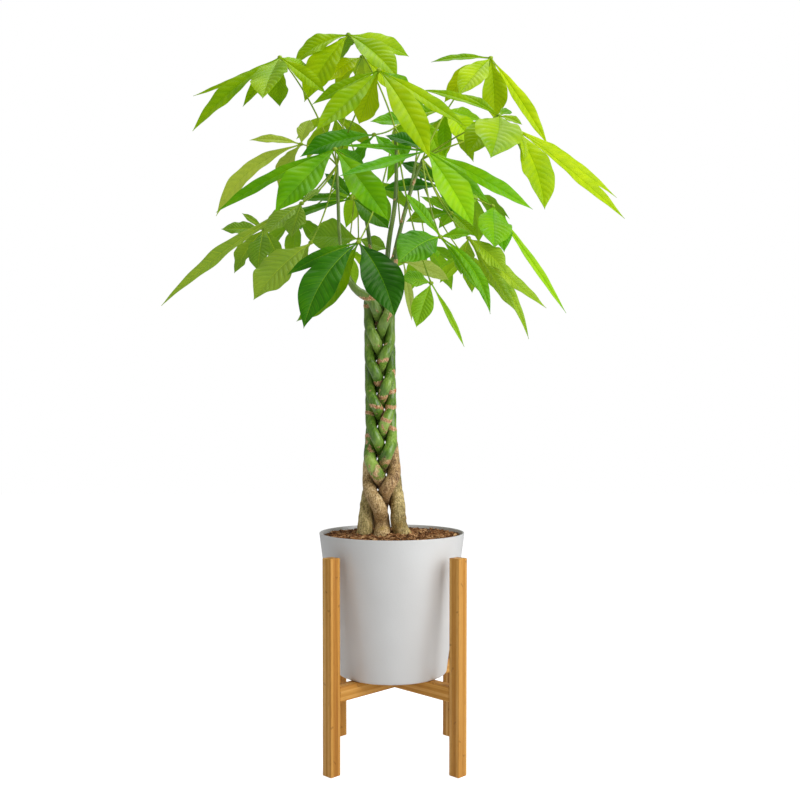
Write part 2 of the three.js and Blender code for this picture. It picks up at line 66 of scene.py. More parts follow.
bpy.ops.object.camera_add(location=CAMERA_PLACE, rotation=(math.pi / 2 - CAMERA_DIP, 0, 0))
camera = bpy.context.object
camera.data.sensor_width = SENSOR
camera.data.lens = SENSOR * FOCAL_LENGTH / IMAGE_SIDE
camera.data.shift_x = 0.5 - CAMERA_AXIS[0] / IMAGE_SIDE
camera.data.shift_y = CAMERA_AXIS[1] / IMAGE_SIDE - 0.5
bpy.context.scene.camera = camera
bpy.context.scene.view_settings.view_transform = "Standard"

for place, aim, size, power in LAMPS:
    turn = (Vector(aim) - Vector(place)).to_track_quat("-Z", "Y").to_euler()
    bpy.ops.object.light_add(type="AREA", location=place, rotation=turn)
    lamp = bpy.context.object.data
    lamp.size = size
    lamp.energy = power

room = bpy.data.worlds.new("room")
room.use_nodes = True
bpy.context.scene.world = room
seen = room.node_tree.nodes.new("ShaderNodeLightPath")
walls = room.node_tree.nodes["Background"]
brightness = room.node_tree.nodes.new("ShaderNodeMapRange")
brightness.inputs["To Min"].default_value = ROOM_LIGHT
brightness.inputs["To Max"].default_value = 1
walls.inputs["Color"].default_value = (1, 1, 1, 1)
room.node_tree.links.new(seen.outputs["Is Camera Ray"], brightness.inputs["Value"])
room.node_tree.links.new(brightness.outputs["Result"], walls.inputs["Strength"])


class Socket:
    """One output among a finish's nodes. Arithmetic on it adds Math nodes."""

    def __init__(self, finish, output):
        self.finish = finish
        self.output = output

    def combine(self, operation, first, second=0):
        return self.finish.node("Math", {"operation": operation}, {0: first, 1: second})

    def __add__(self, other):
        return self.combine("ADD", self, other)

    def __radd__(self, other):
        return self.combine("ADD", other, self)

    def __sub__(self, other):
        return self.combine("SUBTRACT", self, other)

    def __rsub__(self, other):
        return self.combine("SUBTRACT", other, self)

    def __mul__(self, other):
        return self.combine("MULTIPLY", self, other)

    def __rmul__(self, other):
        return self.combine("MULTIPLY", other, self)

    def __abs__(self):
        return self.combine("ABSOLUTE", self)

    def __floor__(self):
        return self.combine("FLOOR", self)


class Finish:
    """The material of one kind of surface, built node by node."""

    def __init__(self, name, **constants):
        self.material = bpy.data.materials.new(name)
        self.material.use_nodes = True
        self.tree = self.material.node_tree
        self.shader = self.tree.nodes["Principled BSDF"]
        for socket, value in constants.items():
            self.shader.inputs[socket.replace("_", " ")].default_value = value

    def node(self, kind, settings=(), sockets=(), output=0):
        """Adds a node: its settings and a ramp's stops first, then its sockets' values or links."""
        added = self.tree.nodes.new("ShaderNode" + kind)
        for setting, value in dict(settings).items():
            if setting != "stops":
                setattr(added, setting, value)
                continue
            elements = added.color_ramp.elements
            while len(elements) < len(value):
                elements.new(1)
            for element, (position, colour) in zip(elements, value):
                element.position = position
                element.color = (*colour, 1)
        for socket, value in dict(sockets).items():
            self.plug(added.inputs[socket], value)
        return Socket(self, added.outputs[output])

    def plug(self, socket, value):
        if isinstance(value, Socket):
            self.tree.links.new(value.output, socket)
        else:
            socket.default_value = value

    def place(self, centre=(0, 0, 0), turn=(0, 0, 0), stretch=(1, 1, 1)):
        """Object coordinates about a centre, turned with the piece, and then stretched."""
        world = self.node("TexCoord", output="Object")
        own = self.node("Mapping", {"vector_type": "TEXTURE"},
                        {"Vector": world, "Location": centre, "Rotation": turn})
        return self.node("VectorMath", {"operation": "MULTIPLY"}, {0: own, 1: stretch})

    def axis(self, vector, letter):
        return self.node("SeparateXYZ", {}, {"Vector": vector}, letter)

    def cloud(self, vector, scale, detail=3):
        """Soft noise from 0 to 1."""
        return self.node("TexNoise", {}, {"Vector": vector, "Scale": scale, "Detail": detail})

    def step(self, value, low, high):
        """0 below low, 1 above high and smooth between."""
        return self.node("MapRange", {"interpolation_type": "SMOOTHSTEP"},
                         {"Value": value, "From Min": low, "From Max": high})

    def ramp(self, share, *stops):
        return self.node("ValToRGB", {"stops": stops}, {"Fac": share})

    def mix(self, share, first, second):
        """A colour between two colours."""
        pair = [value if isinstance(value, Socket) else (*value, 1) for value in (first, second)]
        return self.node("Mix", {"data_type": "RGBA"}, {"Factor": share, 6: pair[0], 7: pair[1]}, 2)

    def cover(self, colour, roughness=None, height=None, depth=0.001):
        """Sets what varies: colour, roughness, and relief as a height times a depth in metres."""
        self.plug(self.shader.inputs["Base Color"], colour)
        if roughness is not None:
            self.plug(self.shader.inputs["Roughness"], roughness)
        if height is not None:
            relief = self.node("Bump", {}, {"Height": height, "Distance": depth})
            self.plug(self.shader.inputs["Normal"], relief)
        return self.material


def dress(piece, *materials):
    piece.data.materials.clear()
    for material in materials:
        piece.data.materials.append(material)


def only(*pieces):
    """Selects these pieces and nothing else, the first of them active."""
    bpy.ops.object.select_all(action="DESELECT")
    for piece in pieces:
        piece.select_set(True)
    bpy.context.view_layer.objects.active = pieces[0]


FLOOR_SIDE = 12

bpy.ops.mesh.primitive_plane_add(size=FLOOR_SIDE)
floor = bpy.context.object
floor.name = "studio_floor"
floor_finish = Finish("studio_white", Roughness=0.9, Specular_IOR_Level=0, Emission_Strength=1)
seen_directly = floor_finish.node("LightPath", output="Is Camera Ray")
glow = floor_finish.mix(seen_directly, (0.2, 0.2, 0.2), (0.86, 0.86, 0.86))
floor_finish.plug(floor_finish.shader.inputs["Emission Color"], glow)
dress(floor, floor_finish.cover((0.6, 0.6, 0.6, 1)))

# ---- stand legs ------------------------------------------------------------------------------
# Four square posts of laminated bamboo, planed and oiled, with their edges just eased. Each has a
# blind hole for the dowel of its cross bar, on the face that it turns to the middle of the stand.

LEG_NAMES = ("front_left", "front_right", "back_right", "back_left")
EASED_EDGE = 0.0011
BAMBOO_STRIP = 0.0052            # width of one strip in the laminate
BAMBOO_JOINT = 0.42              # from one joint of the cane to the next


def whole_copy(node, name):
    """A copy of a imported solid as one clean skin, with flat faces made whole."""
    piece = bpy.data.objects.new(name, bpy.data.objects[node].data.copy())
    bpy.context.collection.objects.link(piece)
    only(piece)
    bpy.ops.object.mode_set(mode="EDIT")
    bpy.ops.mesh.select_all(action="SELECT")
    bpy.ops.mesh.remove_doubles(threshold=1e-5)
    bpy.ops.mesh.dissolve_limited(angle_limit=math.radians(1))
    bpy.ops.mesh.select_all(action="DESELECT")
    bpy.ops.object.mode_set(mode="OBJECT")
    return piece


def ease_edges(piece, shortest):
    """Rounds every square edge longer than the shortest, which leaves the dowel holes sharp."""
    normals_at = {}
    for face in piece.data.polygons:
        for key in face.edge_keys:
            normals_at.setdefault(key, []).append(face.normal.copy())
    for edge in piece.data.edges:
        start, end = (piece.data.vertices[i].co for i in edge.vertices)
        normals = normals_at.get(edge.key, ())
        square = len(normals) == 2 and abs(normals[0].dot(normals[1])) < 0.3
        edge.select = square and (start - end).length > shortest
    bpy.ops.object.mode_set(mode="EDIT")
    bpy.ops.mesh.select_mode(type="EDGE")
    bpy.ops.mesh.bevel(offset=EASED_EDGE, segments=3, affect="EDGES")
    bpy.ops.mesh.select_mode(type="VERT")
    bpy.ops.object.mode_set(mode="OBJECT")
    bpy.ops.object.shade_smooth_by_angle(angle=math.radians(35))


def bamboo(name, centre, turn, seed):
    """Strips of cane side by side along the piece's own Z, each with its grain and its joints."""
    cane = Finish(name, Specular_IOR_Level=0.25)
    own = cane.place(centre, turn)
    x, y, z = (cane.axis(own, letter) for letter in "XYZ")
    strip_x = math.floor(x * (1 / BAMBOO_STRIP) + seed)
    strip_y = math.floor(y * (1 / BAMBOO_STRIP) + 3.5 * seed)
    strip = cane.node("TexWhiteNoise", {"noise_dimensions": "2D"}, {"Vector": cane.node(
        "CombineXYZ", {}, {"X": strip_x, "Y": strip_y})})
    streaks = cane.cloud(cane.place(centre, turn, (900, 900, 14)), 1, 4)
    bands = cane.cloud(cane.place(centre, turn, (260, 260, 4)), 1, 2)
    wander = cane.cloud(cane.place(centre, turn, (120, 120, 20)), 1, 2)
    along = z * (1 / BAMBOO_JOINT) + strip * 7 + wander * 0.05
    joint = 1 - cane.step(abs(along - math.floor(along) - 0.5), 0.001, 0.006)
    tone = strip * 0.4 + streaks * 0.3 + bands * 0.3
    colour = cane.ramp(tone, (0.25, (0.40, 0.155, 0.020)), (0.42, (0.56, 0.250, 0.040)),
                       (0.58, (0.68, 0.345, 0.075)), (0.75, (0.82, 0.49, 0.16)))
    pores = cane.cloud(cane.place(centre, turn, (1500, 1500, 60)), 1, 2)
    flecked = cane.mix(cane.step(pores, 0.6, 0.72) * 0.45, colour, (0.26, 0.085, 0.010))
    darker = cane.mix(joint * 0.45, flecked, (0.20, 0.070, 0.010))
    return cane.cover(darker, 0.42 + streaks * 0.16, streaks - joint * 0.4, 0.0002)


for index, corner in enumerate(LEG_NAMES):
    node = f"stand_leg_{corner}"
    low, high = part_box(node)
    heading = math.radians(-135 + 90 * index)
    leg = whole_copy(node, f"bamboo_leg_{corner}")
    ease_edges(leg, shortest=0.02)
    dress(leg, bamboo(f"bamboo_{corner}", (low + high) / 2, (0, 0, heading), index + 1))
    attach(leg, "root")
    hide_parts(node)

# ---- cross bars ------------------------------------------------------------------------------
# Two bars of the same bamboo cross under the pot, half-lapped where they meet, the lower one
# notched from above and the upper one from below. Their ends butt against the legs.

for index, part in enumerate(("lower", "upper")):
    node = f"stand_bar_{part}"
    low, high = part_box(node)
    heading = math.radians(-135 + 90 * index)
    bar = whole_copy(node, f"bamboo_bar_{part}")
    ease_edges(bar, shortest=0.012)
    dress(bar, bamboo(f"bamboo_{part}", (low + high) / 2, (0, math.pi / 2, heading), index + 7))
    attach(bar, "root")
    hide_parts(node)

# ---- dowels ----------------------------------------------------------------------------------
# A plain beech dowel is glued into each leg and the end of its bar. All four are hidden in their
# holes, so the solids stay as they are and only get their wood.

DOWEL_COLOURS = ((0.3, (0.46, 0.30, 0.15)), (0.7, (0.68, 0.49, 0.28)))

for index, corner in enumerate(LEG_NAMES):
    node = f"stand_dowel_{corner}"
    low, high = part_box(node)
    beech = Finish(f"beech_{corner}", Roughness=0.65)
    grain_place = beech.place((low + high) / 2, (0, math.pi / 2, math.radians(-135 + 90 * index)),
                              (500, 500, 30))
    grain = beech.cloud(grain_place, 1, 3)
    dress(bpy.data.objects[node], beech.cover(beech.ramp(grain, *DOWEL_COLOURS), 0.65, grain, 0.0002))

# ---- pot -------------------------------------------------------------------------------------
# A tapered, thin-walled pot with a glossy, off-white finish, a softly rounded lip and a small foot
# radius. It is moulded in one piece, so its wall is even and its surface barely uneven.

POT_BASE_RADIUS = 0.096
POT_WALL = 0.0035
POT_FLOOR = 0.005
POT_FOOT_ROUND = 0.005
POT_LIP_ROUND = 0.0014
POT_SIDES = 128

pot_low, pot_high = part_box("pot")
pot_centre = (pot_low + pot_high) / 2
pot_height = pot_high.z - pot_low.z
pot_rim_radius = (pot_high.x - pot_low.x) / 2


def pot_radius(height):
    """The outer wall's radius at a height above the floor of the room."""
    share = (height - pot_low.z) / pot_height
    return POT_BASE_RADIUS + (pot_rim_radius - POT_BASE_RADIUS) * share


def select_faces(piece, chosen):
    """Selects the faces that chosen accepts, with the piece left in edit mode."""
    bpy.ops.object.mode_set(mode="OBJECT")
    for element in (*piece.data.vertices, *piece.data.edges):
        element.select = False
    for face in piece.data.polygons:
        face.select = chosen(face)
    bpy.ops.object.mode_set(mode="EDIT")
    bpy.ops.mesh.select_mode(type="FACE")


def select_edges(piece, chosen):
    """Selects the edges whose two ends chosen accepts, with the piece left in edit mode."""
    bpy.ops.object.mode_set(mode="OBJECT")
    for element in (*piece.data.vertices, *piece.data.polygons):
        element.select = False
    for edge in piece.data.edges:
        edge.select = all(chosen(piece.data.vertices[i].co) for i in edge.vertices)
    bpy.ops.object.mode_set(mode="EDIT")
    bpy.ops.mesh.select_mode(type="EDGE")


def settle(piece):
    """Ends the editing of a piece: its place goes into its mesh."""
    bpy.ops.object.mode_set(mode="OBJECT")
    only(piece)
    bpy.ops.object.transform_apply(location=True, rotation=True, scale=True)


bpy.ops.mesh.primitive_cone_add(vertices=POT_SIDES, radius1=POT_BASE_RADIUS, radius2=pot_rim_radius,
                                depth=pot_height, location=pot_centre)
pot = bpy.context.object
pot.name = "tapered_pot"
settle(pot)
select_faces(pot, lambda face: face.normal.z > 0.9)
bpy.ops.mesh.inset(thickness=POT_WALL)
bpy.ops.mesh.extrude_region_move()
bpy.ops.transform.translate(value=(0, 0, POT_FLOOR - pot_height))
floor_scale = (pot_radius(pot_low.z + POT_FLOOR) - POT_WALL) / (pot_rim_radius - POT_WALL)
bpy.ops.transform.resize(value=(floor_scale, floor_scale, 1), center_override=pot_centre)
select_edges(pot, lambda point: abs(point.z - pot_high.z) < 1e-4)
bpy.ops.mesh.bevel(offset=POT_LIP_ROUND, segments=4, affect="EDGES")
select_edges(pot, lambda point: abs(point.z - pot_low.z) < 1e-4)
bpy.ops.mesh.bevel(offset=POT_FOOT_ROUND, segments=5, affect="EDGES")
settle(pot)
bpy.ops.object.shade_smooth_by_angle(angle=math.radians(40))

glaze = Finish("pot_glaze", Specular_IOR_Level=0.5, Coat_Weight=0.25, Coat_Roughness=0.12)
soft_clouds = glaze.cloud(glaze.place(), 9, 2)
fine_grain = glaze.cloud(glaze.place(), 420, 2)
white = glaze.ramp(soft_clouds, (0.3, (0.665, 0.665, 0.66)), (0.7, (0.71, 0.715, 0.712)))
dress(pot, glaze.cover(white, 0.3 + fine_grain * 0.1, soft_clouds * 0.8 + fine_grain * 0.1, 0.0012))
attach(pot, "root")
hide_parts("pot")

# ---- soil ------------------------------------------------------------------------------------
# Potting mix of bark and coir fills the pot to just below the lip, a little higher round the
# stems. Loose chips and fibres of bark and coir lie all over it.

SOIL_LINE = 0.3803
SOIL_HEAP = 0.006
SOIL_GAP = 0.0002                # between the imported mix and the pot's wall
LITTER_DEPTH = 0.0065            # the loose top layer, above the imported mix
LITTER_SPREAD = 0.86             # the share of the surface's area that the bits lie on
SOIL_SIDES = 120
SOIL_RINGS = 30
CHIP_COUNT = 1500
FIBRE_COUNT = 260

soil_low, soil_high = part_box("soil")
soil_edge = (soil_high.x - soil_low.x) / 2 - SOIL_GAP
soil_foot = pot_radius(soil_low.z) - POT_WALL - 0.001
random.seed(11)


def soil_height(x, y):
    """The surface of the mix, measured from the pot's axis: heaped in the middle, and lumpy."""
    radius = math.hypot(x, y)
    angle = math.atan2(y, x)
    share = min(radius / soil_edge, 1)
    waves = math.sin(5 * angle + radius * 1000 / 9) + math.sin(9 * angle - radius * 1000 / 6)
    lumps = noise.noise((x * 90, y * 90, 0)) * 0.0022 + noise.noise((x * 260, y * 260, 5)) * 0.0012
    packed = SOIL_LINE + SOIL_HEAP * (1 - share) ** 2
    return packed + LITTER_DEPTH + 0.0012 * waves * share + lumps


bpy.ops.mesh.primitive_cone_add(
    vertices=SOIL_SIDES, radius1=soil_foot, radius2=soil_edge, depth=SOIL_LINE - soil_low.z,
    location=(pot_centre.x, 0, (SOIL_LINE + soil_low.z) / 2))
soil = bpy.context.object
soil.name = "potting_mix"
settle(soil)
select_faces(soil, lambda face: face.normal.z > 0.9)
for _ in range(SOIL_RINGS):
    bpy.ops.mesh.inset(thickness=soil_edge / (SOIL_RINGS + 1))
settle(soil)
for vertex in soil.data.vertices:
    if abs(vertex.co.z - SOIL_LINE) < 1e-5:
        vertex.co.z = soil_height(vertex.co.x - pot_centre.x, vertex.co.y)
bpy.ops.object.shade_smooth()


def rough_chip(name, size, subdivisions, roughness):
    """One bit of bark: a small block, split and knocked out of shape."""
    bpy.ops.mesh.primitive_cube_add(size=1)
    chip = bpy.context.object
    chip.name = name
    bpy.ops.object.mode_set(mode="EDIT")
    bpy.ops.mesh.subdivide(number_cuts=subdivisions)
    bpy.ops.transform.vertex_random(offset=roughness, seed=4)
    bpy.ops.transform.resize(value=size, center_override=(0, 0, 0))
    settle(chip)
    return chip


def scatter(chip, count, sizes, lift):
    """Copies of a chip, lying any way on the soil, each with its own tone."""
    copies = []
    for _ in range(count):
        radius = soil_edge * math.sqrt(random.uniform(0, LITTER_SPREAD))
        angle = random.uniform(0, 2 * math.pi)
        x, y = radius * math.cos(angle), radius * math.sin(angle)
        copy = chip.copy()
        copy.data = chip.data.copy()
        tilt = Euler((random.gauss(0, 0.3), random.gauss(0, 0.3), random.uniform(0, 2 * math.pi)))
        place = Matrix.Translation((pot_centre.x + x, y, soil_height(x, y) + lift))
        scale = random.uniform(*sizes)
        size = Matrix.Diagonal((scale, scale, scale, 1))
        copy.data.transform(place @ tilt.to_matrix().to_4x4() @ size)
        tone = copy.data.attributes.new("tone", "FLOAT", "POINT")
        tone.data.foreach_set("value", [random.random()] * len(copy.data.vertices))
        bpy.context.collection.objects.link(copy)
        copies.append(copy)
    bpy.data.objects.remove(chip)
    return copies


chips = scatter(rough_chip("bark_chip", (0.0075, 0.0034, 0.0022), 1, 0.16), CHIP_COUNT,
                (0.5, 1.25), 0.0006)
fibres = scatter(rough_chip("coir_fibre", (0.012, 0.0008, 0.0007), 1, 0.3), FIBRE_COUNT,
                 (0.6, 1.3), 0.0016)
only(*chips, *fibres)
bpy.ops.object.join()
litter = bpy.context.object
litter.name = "bark_and_coir"

mix = Finish("potting_mix", Roughness=0.95, Specular_IOR_Level=0.2)
mix_grain = mix.cloud(mix.place(), 240, 4)
mix_colour = mix.ramp(mix_grain, (0.3, (0.040, 0.017, 0.007)), (0.55, (0.16, 0.068, 0.022)),
                      (0.75, (0.38, 0.185, 0.070)))
dress(soil, mix.cover(mix_colour, 0.95, mix_grain, 0.002))

bits = Finish("bark_and_coir", Roughness=0.85, Specular_IOR_Level=0.3)
bit_tone = bits.node("Attribute", {"attribute_name": "tone"}, output="Fac")
bit_grain = bits.cloud(bits.place(stretch=(1, 1, 2)), 700, 3)
bit_colour = bits.ramp(bit_tone * 0.75 + bit_grain * 0.3, (0.1, (0.060, 0.024, 0.010)),
                       (0.35, (0.20, 0.082, 0.026)), (0.7, (0.42, 0.20, 0.075)),
                       (0.95, (0.75, 0.47, 0.23)))
dress(litter, bits.cover(bit_colour, 0.85, bit_grain, 0.0006))
for piece in (soil, litter):
    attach(piece, "root")
    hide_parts("soil")

# ---- stems -----------------------------------------------------------------------------------
# Five young trees planted together and braided while green. Low down they are thick and corky,
# above they stay smooth and green, with tan scars where old leaves sat, and each ends in a shoot.

BRAID_BOTTOM = 0.486
BRAID_TOP = 0.795
BRAID_PITCH = 0.284
BRAID_ZERO = 0.593
BRAID_FLARE_TOP = 0.580          # below it the braid grows wider, and its stems thicker
BRAID_FLARE = 0.26
ROOT_SPLAY = 1.45                # how late the stems turn out to their feet
BRAID_HALF_WIDTH = 0.019
BRAID_HALF_DEPTH = 0.020
STEM_RADIUS = 0.0091             # the stems press into each other where they cross
STEM_ROOT_RADIUS = 0.0145
STEM_ROOT_DEPTH = 0.045
STEM_STEP = 0.012
STEM_SMOOTHNESS = 8
SCAR_REACH = 0.0045              # how far the swelling at a leaf scar goes up and down
GROOVE_PLACE = 0.0035            # the groove over a scar, measured up from it
GROOVE_REACH = 0.0011
CREASE_SHADE_REACH = 0.0021            # how far the painted shade of a crease spreads
STEMS = (
    # foot in the soil, how olive its cork is, where the cork ends, heights of the leaf scars, and
    # the shoot above the braid as (x, y, z, radius)
    dict(foot=(-0.016, 0.012), olive=0.1, cork=0.545,
         scars=(0.452, 0.548, 0.612, 0.716, 0.802, 0.86, 0.93, 1.0),
         shoot=((0, -0.014, 0.845, 0.0042), (0.003, -0.015, 0.880, 0.0036),
                (0.009, -0.012, 0.915, 0.0034), (0.028, -0.008, 0.985, 0.0031),
                (0.048, -0.005, 1.040, 0.0026))),
    dict(foot=(-0.056, -0.004), olive=0.85, cork=0.515,
         scars=(0.44, 0.515, 0.574, 0.655, 0.778, 0.826, 0.9, 0.97),
         shoot=((-0.016, -0.002, 0.845, 0.0046), (-0.009, -0.002, 0.906, 0.0042),
                (0, 0.002, 0.962, 0.0038), (0.003, 0.006, 1.030, 0.0032),
                (0, 0.012, 1.100, 0.0026))),
    dict(foot=(-0.025, -0.030), olive=0.25, cork=0.545,
         scars=(0.46, 0.54, 0.59, 0.614, 0.64, 0.79, 0.86, 0.95),
         shoot=((-0.040, 0.024, 0.845, 0.0040), (-0.045, 0.036, 0.910, 0.0036),
                (-0.058, 0.060, 0.990, 0.0031), (-0.068, 0.085, 1.060, 0.0026))),
    dict(foot=(0.012, 0.032), olive=0, cork=0.505,
         scars=(0.47, 0.56, 0.585, 0.63, 0.755, 0.80, 0.87, 0.95),
         shoot=((-0.070, -0.014, 0.818, 0.0065), (-0.087, -0.012, 0.856, 0.0036),
                (-0.094, -0.010, 0.896, 0.0031), (-0.098, -0.008, 0.974, 0.0029),
                (-0.100, -0.004, 1.030, 0.0026))),
    dict(foot=(0.020, -0.010), olive=0.75, cork=0.505,
         scars=(0.465, 0.525, 0.60, 0.69, 0.80, 0.88, 0.96),
         shoot=((-0.008, 0.026, 0.845, 0.0040), (0.005, 0.042, 0.910, 0.0036),
                (0.025, 0.070, 0.990, 0.0031), (0.038, 0.096, 1.060, 0.0026))),
)


def ease(share):
    share = min(max(share, 0), 1)
    return share * share * (3 - 2 * share)


def flare(height):
    return 1 + BRAID_FLARE * ease((BRAID_FLARE_TOP - height) / (BRAID_FLARE_TOP - BRAID_BOTTOM))


def braid_place(stem, height):
    phase = 2 * math.pi * ((BRAID_ZERO - height) / BRAID_PITCH + stem / len(STEMS))
    axis = -0.021 - 0.006 * (height - SOIL_LINE) / (BRAID_TOP - SOIL_LINE)
    x = flare(height) * BRAID_HALF_WIDTH * (math.sin(phase) - 0.07 * math.sin(5 * phase))
    y = flare(height) * BRAID_HALF_DEPTH * (math.sin(2 * phase) + 0.4 * math.sin(4 * phase))
    return Vector((axis + x, y, height))


def stem_stations(stem):
    """Points and radii of a stem, from its root in the soil to the tip of its shoot."""
    bottom = SOIL_LINE - STEM_ROOT_DEPTH
    steps = round((BRAID_TOP - bottom) / STEM_STEP)
    stations = []
    for step in range(steps + 1):
        height = bottom + (BRAID_TOP - bottom) * step / steps
        below = (BRAID_BOTTOM - height) / (BRAID_BOTTOM - SOIL_LINE)
        spread = min(max(below, 0), 1) ** ROOT_SPLAY
        thickness = STEM_RADIUS * flare(height)
        foot = Vector((*STEMS[stem]["foot"], height))
        point = braid_place(stem, height).lerp(foot, spread)
        stations.append((point, thickness + (STEM_ROOT_RADIUS - thickness) * spread))
    stations += [(Vector((x, y, z)), radius) for x, y, z, radius in STEMS[stem]["shoot"]]
    return stations


def round_cane(name, stations, smoothness, resolution, handles=None):
    """A cane with a round section through the stations, as a mesh of rings."""
    bpy.ops.curve.primitive_bezier_curve_add()
    curve = bpy.context.object
    curve.name = name
    curve.data.bevel_depth = 1
    curve.data.bevel_resolution = smoothness
    curve.data.resolution_u = resolution
    curve.data.use_fill_caps = True
    points = curve.data.splines[0].bezier_points
    points.add(len(stations) - len(points))
    for point, (place, radius) in zip(points, stations):
        point.co = place
        point.radius = radius
        point.handle_left_type = point.handle_right_type = "AUTO"
    if handles:
        for point in points:
            point.handle_left_type = point.handle_right_type = "FREE"
        points[0].handle_right, points[-1].handle_left = handles
        points[0].handle_left = stations[0][0]
        points[-1].handle_right = stations[-1][0]
    only(curve)
    bpy.ops.object.convert(target="MESH")
    return bpy.context.object


def rings_of(cane, smoothness):
    """The points of a cane as an array of rings, and the middle of each ring."""
    sides = 4 + 2 * smoothness
    points = np.empty(len(cane.data.vertices) * 3)
    cane.data.vertices.foreach_get("co", points)
    rings = points.reshape(-1, sides, 3)
    return rings, rings.mean(axis=1)


def write_attribute(piece, name, values):
    attribute = piece.data.attributes.new(name, "FLOAT", "POINT")
    attribute.data.foreach_set("value", np.asarray(values, dtype=np.float32).ravel())


def grow_bark(cane, scars, smoothness):
    """Swells the cane at its leaf scars, wrinkles it and roughens its corky foot."""
    rings, middles = rings_of(cane, smoothness)
    scar = np.zeros(rings.shape[:2])
    for ring, middle, scar_row in zip(rings, middles, scar):
        cork = ease((0.52 - middle[2]) / 0.12)
        thin = 1 - ease((middle[2] - BRAID_TOP) / 0.04)
        for side, point in enumerate(ring):
            outward = point - middle
            radius = np.linalg.norm(outward)
            tilt = 0.003 * math.sin(side * 2 * math.pi / len(ring) + middle[2] * 40)
            nearest = min((point[2] + tilt - height for height in scars), key=abs)
            swelling = math.exp(-((nearest / SCAR_REACH) ** 2))
            groove = math.exp(-(((nearest - GROOVE_PLACE) / GROOVE_REACH) ** 2))
            scar_row[side] = swelling
            wrinkle = noise.noise(Vector(point) * 140)
            fissure = noise.noise(Vector((point[0] * 300, point[1] * 300, point[2] * 60)))
            growth = (swelling * 0.09 - groove * 0.06 + wrinkle * 0.025 * thin
                      + cork * (fissure * 0.07 + 0.04 * noise.noise(Vector(point) * 420)))
            ring[side] = middle + outward * (1 + growth)
    cane.data.vertices.foreach_set("co", rings.ravel())
    write_attribute(cane, "scar", scar)


def crease(index, cane):
    """How closely the other stems hem in each point of this one: 1 where they touch it. It sets how dark
    the painted shade in the creases is.
    """
    rings, _ = rings_of(cane, STEM_SMOOTHNESS)
    points = rings.reshape(-1, 1, 3)
    gap = np.full(len(points), 1.0)
    for other, (middles, radii) in enumerate(stem_cores):
        if other != index:
            apart = np.linalg.norm(points - middles, axis=2) - radii
            gap = np.minimum(gap, apart.min(axis=1))
    return np.exp(-np.maximum(gap, 0) / CREASE_SHADE_REACH)


def bark(seed, olive, cork_top):
    """Green skin, duller high up, with tan rings and patches, cork low down and painted shade, near
    black, in the creases between the stems.
    """
    skin = Finish(f"stem_bark_{seed}", Specular_IOR_Level=0.6)
    height = skin.axis(skin.place(), "Z")
    scar = skin.node("Attribute", {"attribute_name": "scar"}, output="Fac")
    painted_crease_shade = skin.node("Attribute", {"attribute_name": "crease"}, output="Fac")
    shift = (seed * 0.31, seed * 0.17, 0)
    blotches = skin.cloud(skin.place(shift, stretch=(1, 1, 0.8)), 60, 5)
    specks = skin.cloud(skin.place(shift, stretch=(1, 1, 0.7)), 520, 4)
    spots = skin.cloud(skin.place(shift), 170, 1)
    streaks = skin.cloud(skin.place(shift, stretch=(1, 1, 0.12)), 330, 4)
    clouds = skin.cloud(skin.place(shift), 20, 2)
    green = skin.ramp(streaks * 0.35 + clouds * 0.65, (0.36, (0.045, 0.115, 0.010)),
                      (0.46, (0.115, 0.245, 0.020)), (0.56, (0.235, 0.400, 0.050)),
                      (0.66, (0.420, 0.580, 0.120)))
    tan = skin.ramp(specks, (0.34, (0.30, 0.125, 0.045)), (0.48, (0.58, 0.30, 0.12)),
                    (0.62, (0.82, 0.55, 0.30)))
    aloft = skin.step(height, 0.68, 0.82)
    aged = skin.mix(aloft * 0.5, green, (0.170, 0.230, 0.075))
    rusty = skin.mix(skin.step(spots, 0.66, 0.70), tan, (0.42, 0.085, 0.018))
    mottle = specks * 0.36 + clouds * 0.34 + streaks * 0.3
    brown = skin.ramp(mottle, (0.39, (0.090, 0.040, 0.012)),
                      (0.45, (0.32, 0.170, 0.062)), (0.52, (0.58, 0.35, 0.150)),
                      (0.59, (0.90, 0.66, 0.37)))
    olive_cork = skin.ramp(mottle, (0.39, (0.060, 0.046, 0.012)),
                           (0.45, (0.24, 0.200, 0.056)), (0.52, (0.48, 0.40, 0.135)),
                           (0.59, (0.82, 0.68, 0.29)))
    plain_cork = skin.mix(olive, brown, olive_cork)
    pitted = skin.mix(skin.step(spots, 0.62, 0.72) * 0.4, plain_cork, (0.090, 0.048, 0.016))
    cork = skin.mix(skin.step(specks, 0.58, 0.66) * 0.5, pitted, (0.70, 0.52, 0.30))
    flakes = skin.step(blotches, 0.56, 0.60) * (1 - skin.step(height, 0.385, 0.43))
    flaky = skin.mix(flakes * 0.8, cork, (0.66, 0.45, 0.12))
    low = 1 - skin.step(height + blotches * 0.14 - scar * 0.01, cork_top + 0.055, cork_top + 0.075)
    old = skin.step(blotches + specks * 0.13 + scar * 0.16 - aloft * 0.03, 0.69, 0.72)
    ring = skin.step(scar + specks * 0.9, 0.98, 1.12)
    patched = skin.mix(old, skin.mix(ring, aged, rusty), rusty)
    # Painted shade: where the stems press together the colour goes to near black.
    colour = skin.mix(painted_crease_shade, skin.mix(low, patched, flaky), (0.006, 0.010, 0.002))
    grain = streaks * 0.5 + specks * 0.5
    relief = grain * (0.15 + low * 2.4 + old * 0.8)
    return skin.cover(colour, 0.25 + low * 0.40 + old * 0.28, relief, 0.0014)


canes = []
stem_cores = []
for index, stem in enumerate(STEMS):
    cane = round_cane(f"cane_{index + 1}", stem_stations(index), STEM_SMOOTHNESS, 4)
    grow_bark(cane, stem["scars"], STEM_SMOOTHNESS)
    rings, middles = rings_of(cane, STEM_SMOOTHNESS)
    radii = np.linalg.norm(rings - middles[:, None], axis=2).mean(axis=1)
    canes.append(cane)
    stem_cores.append((middles, radii))

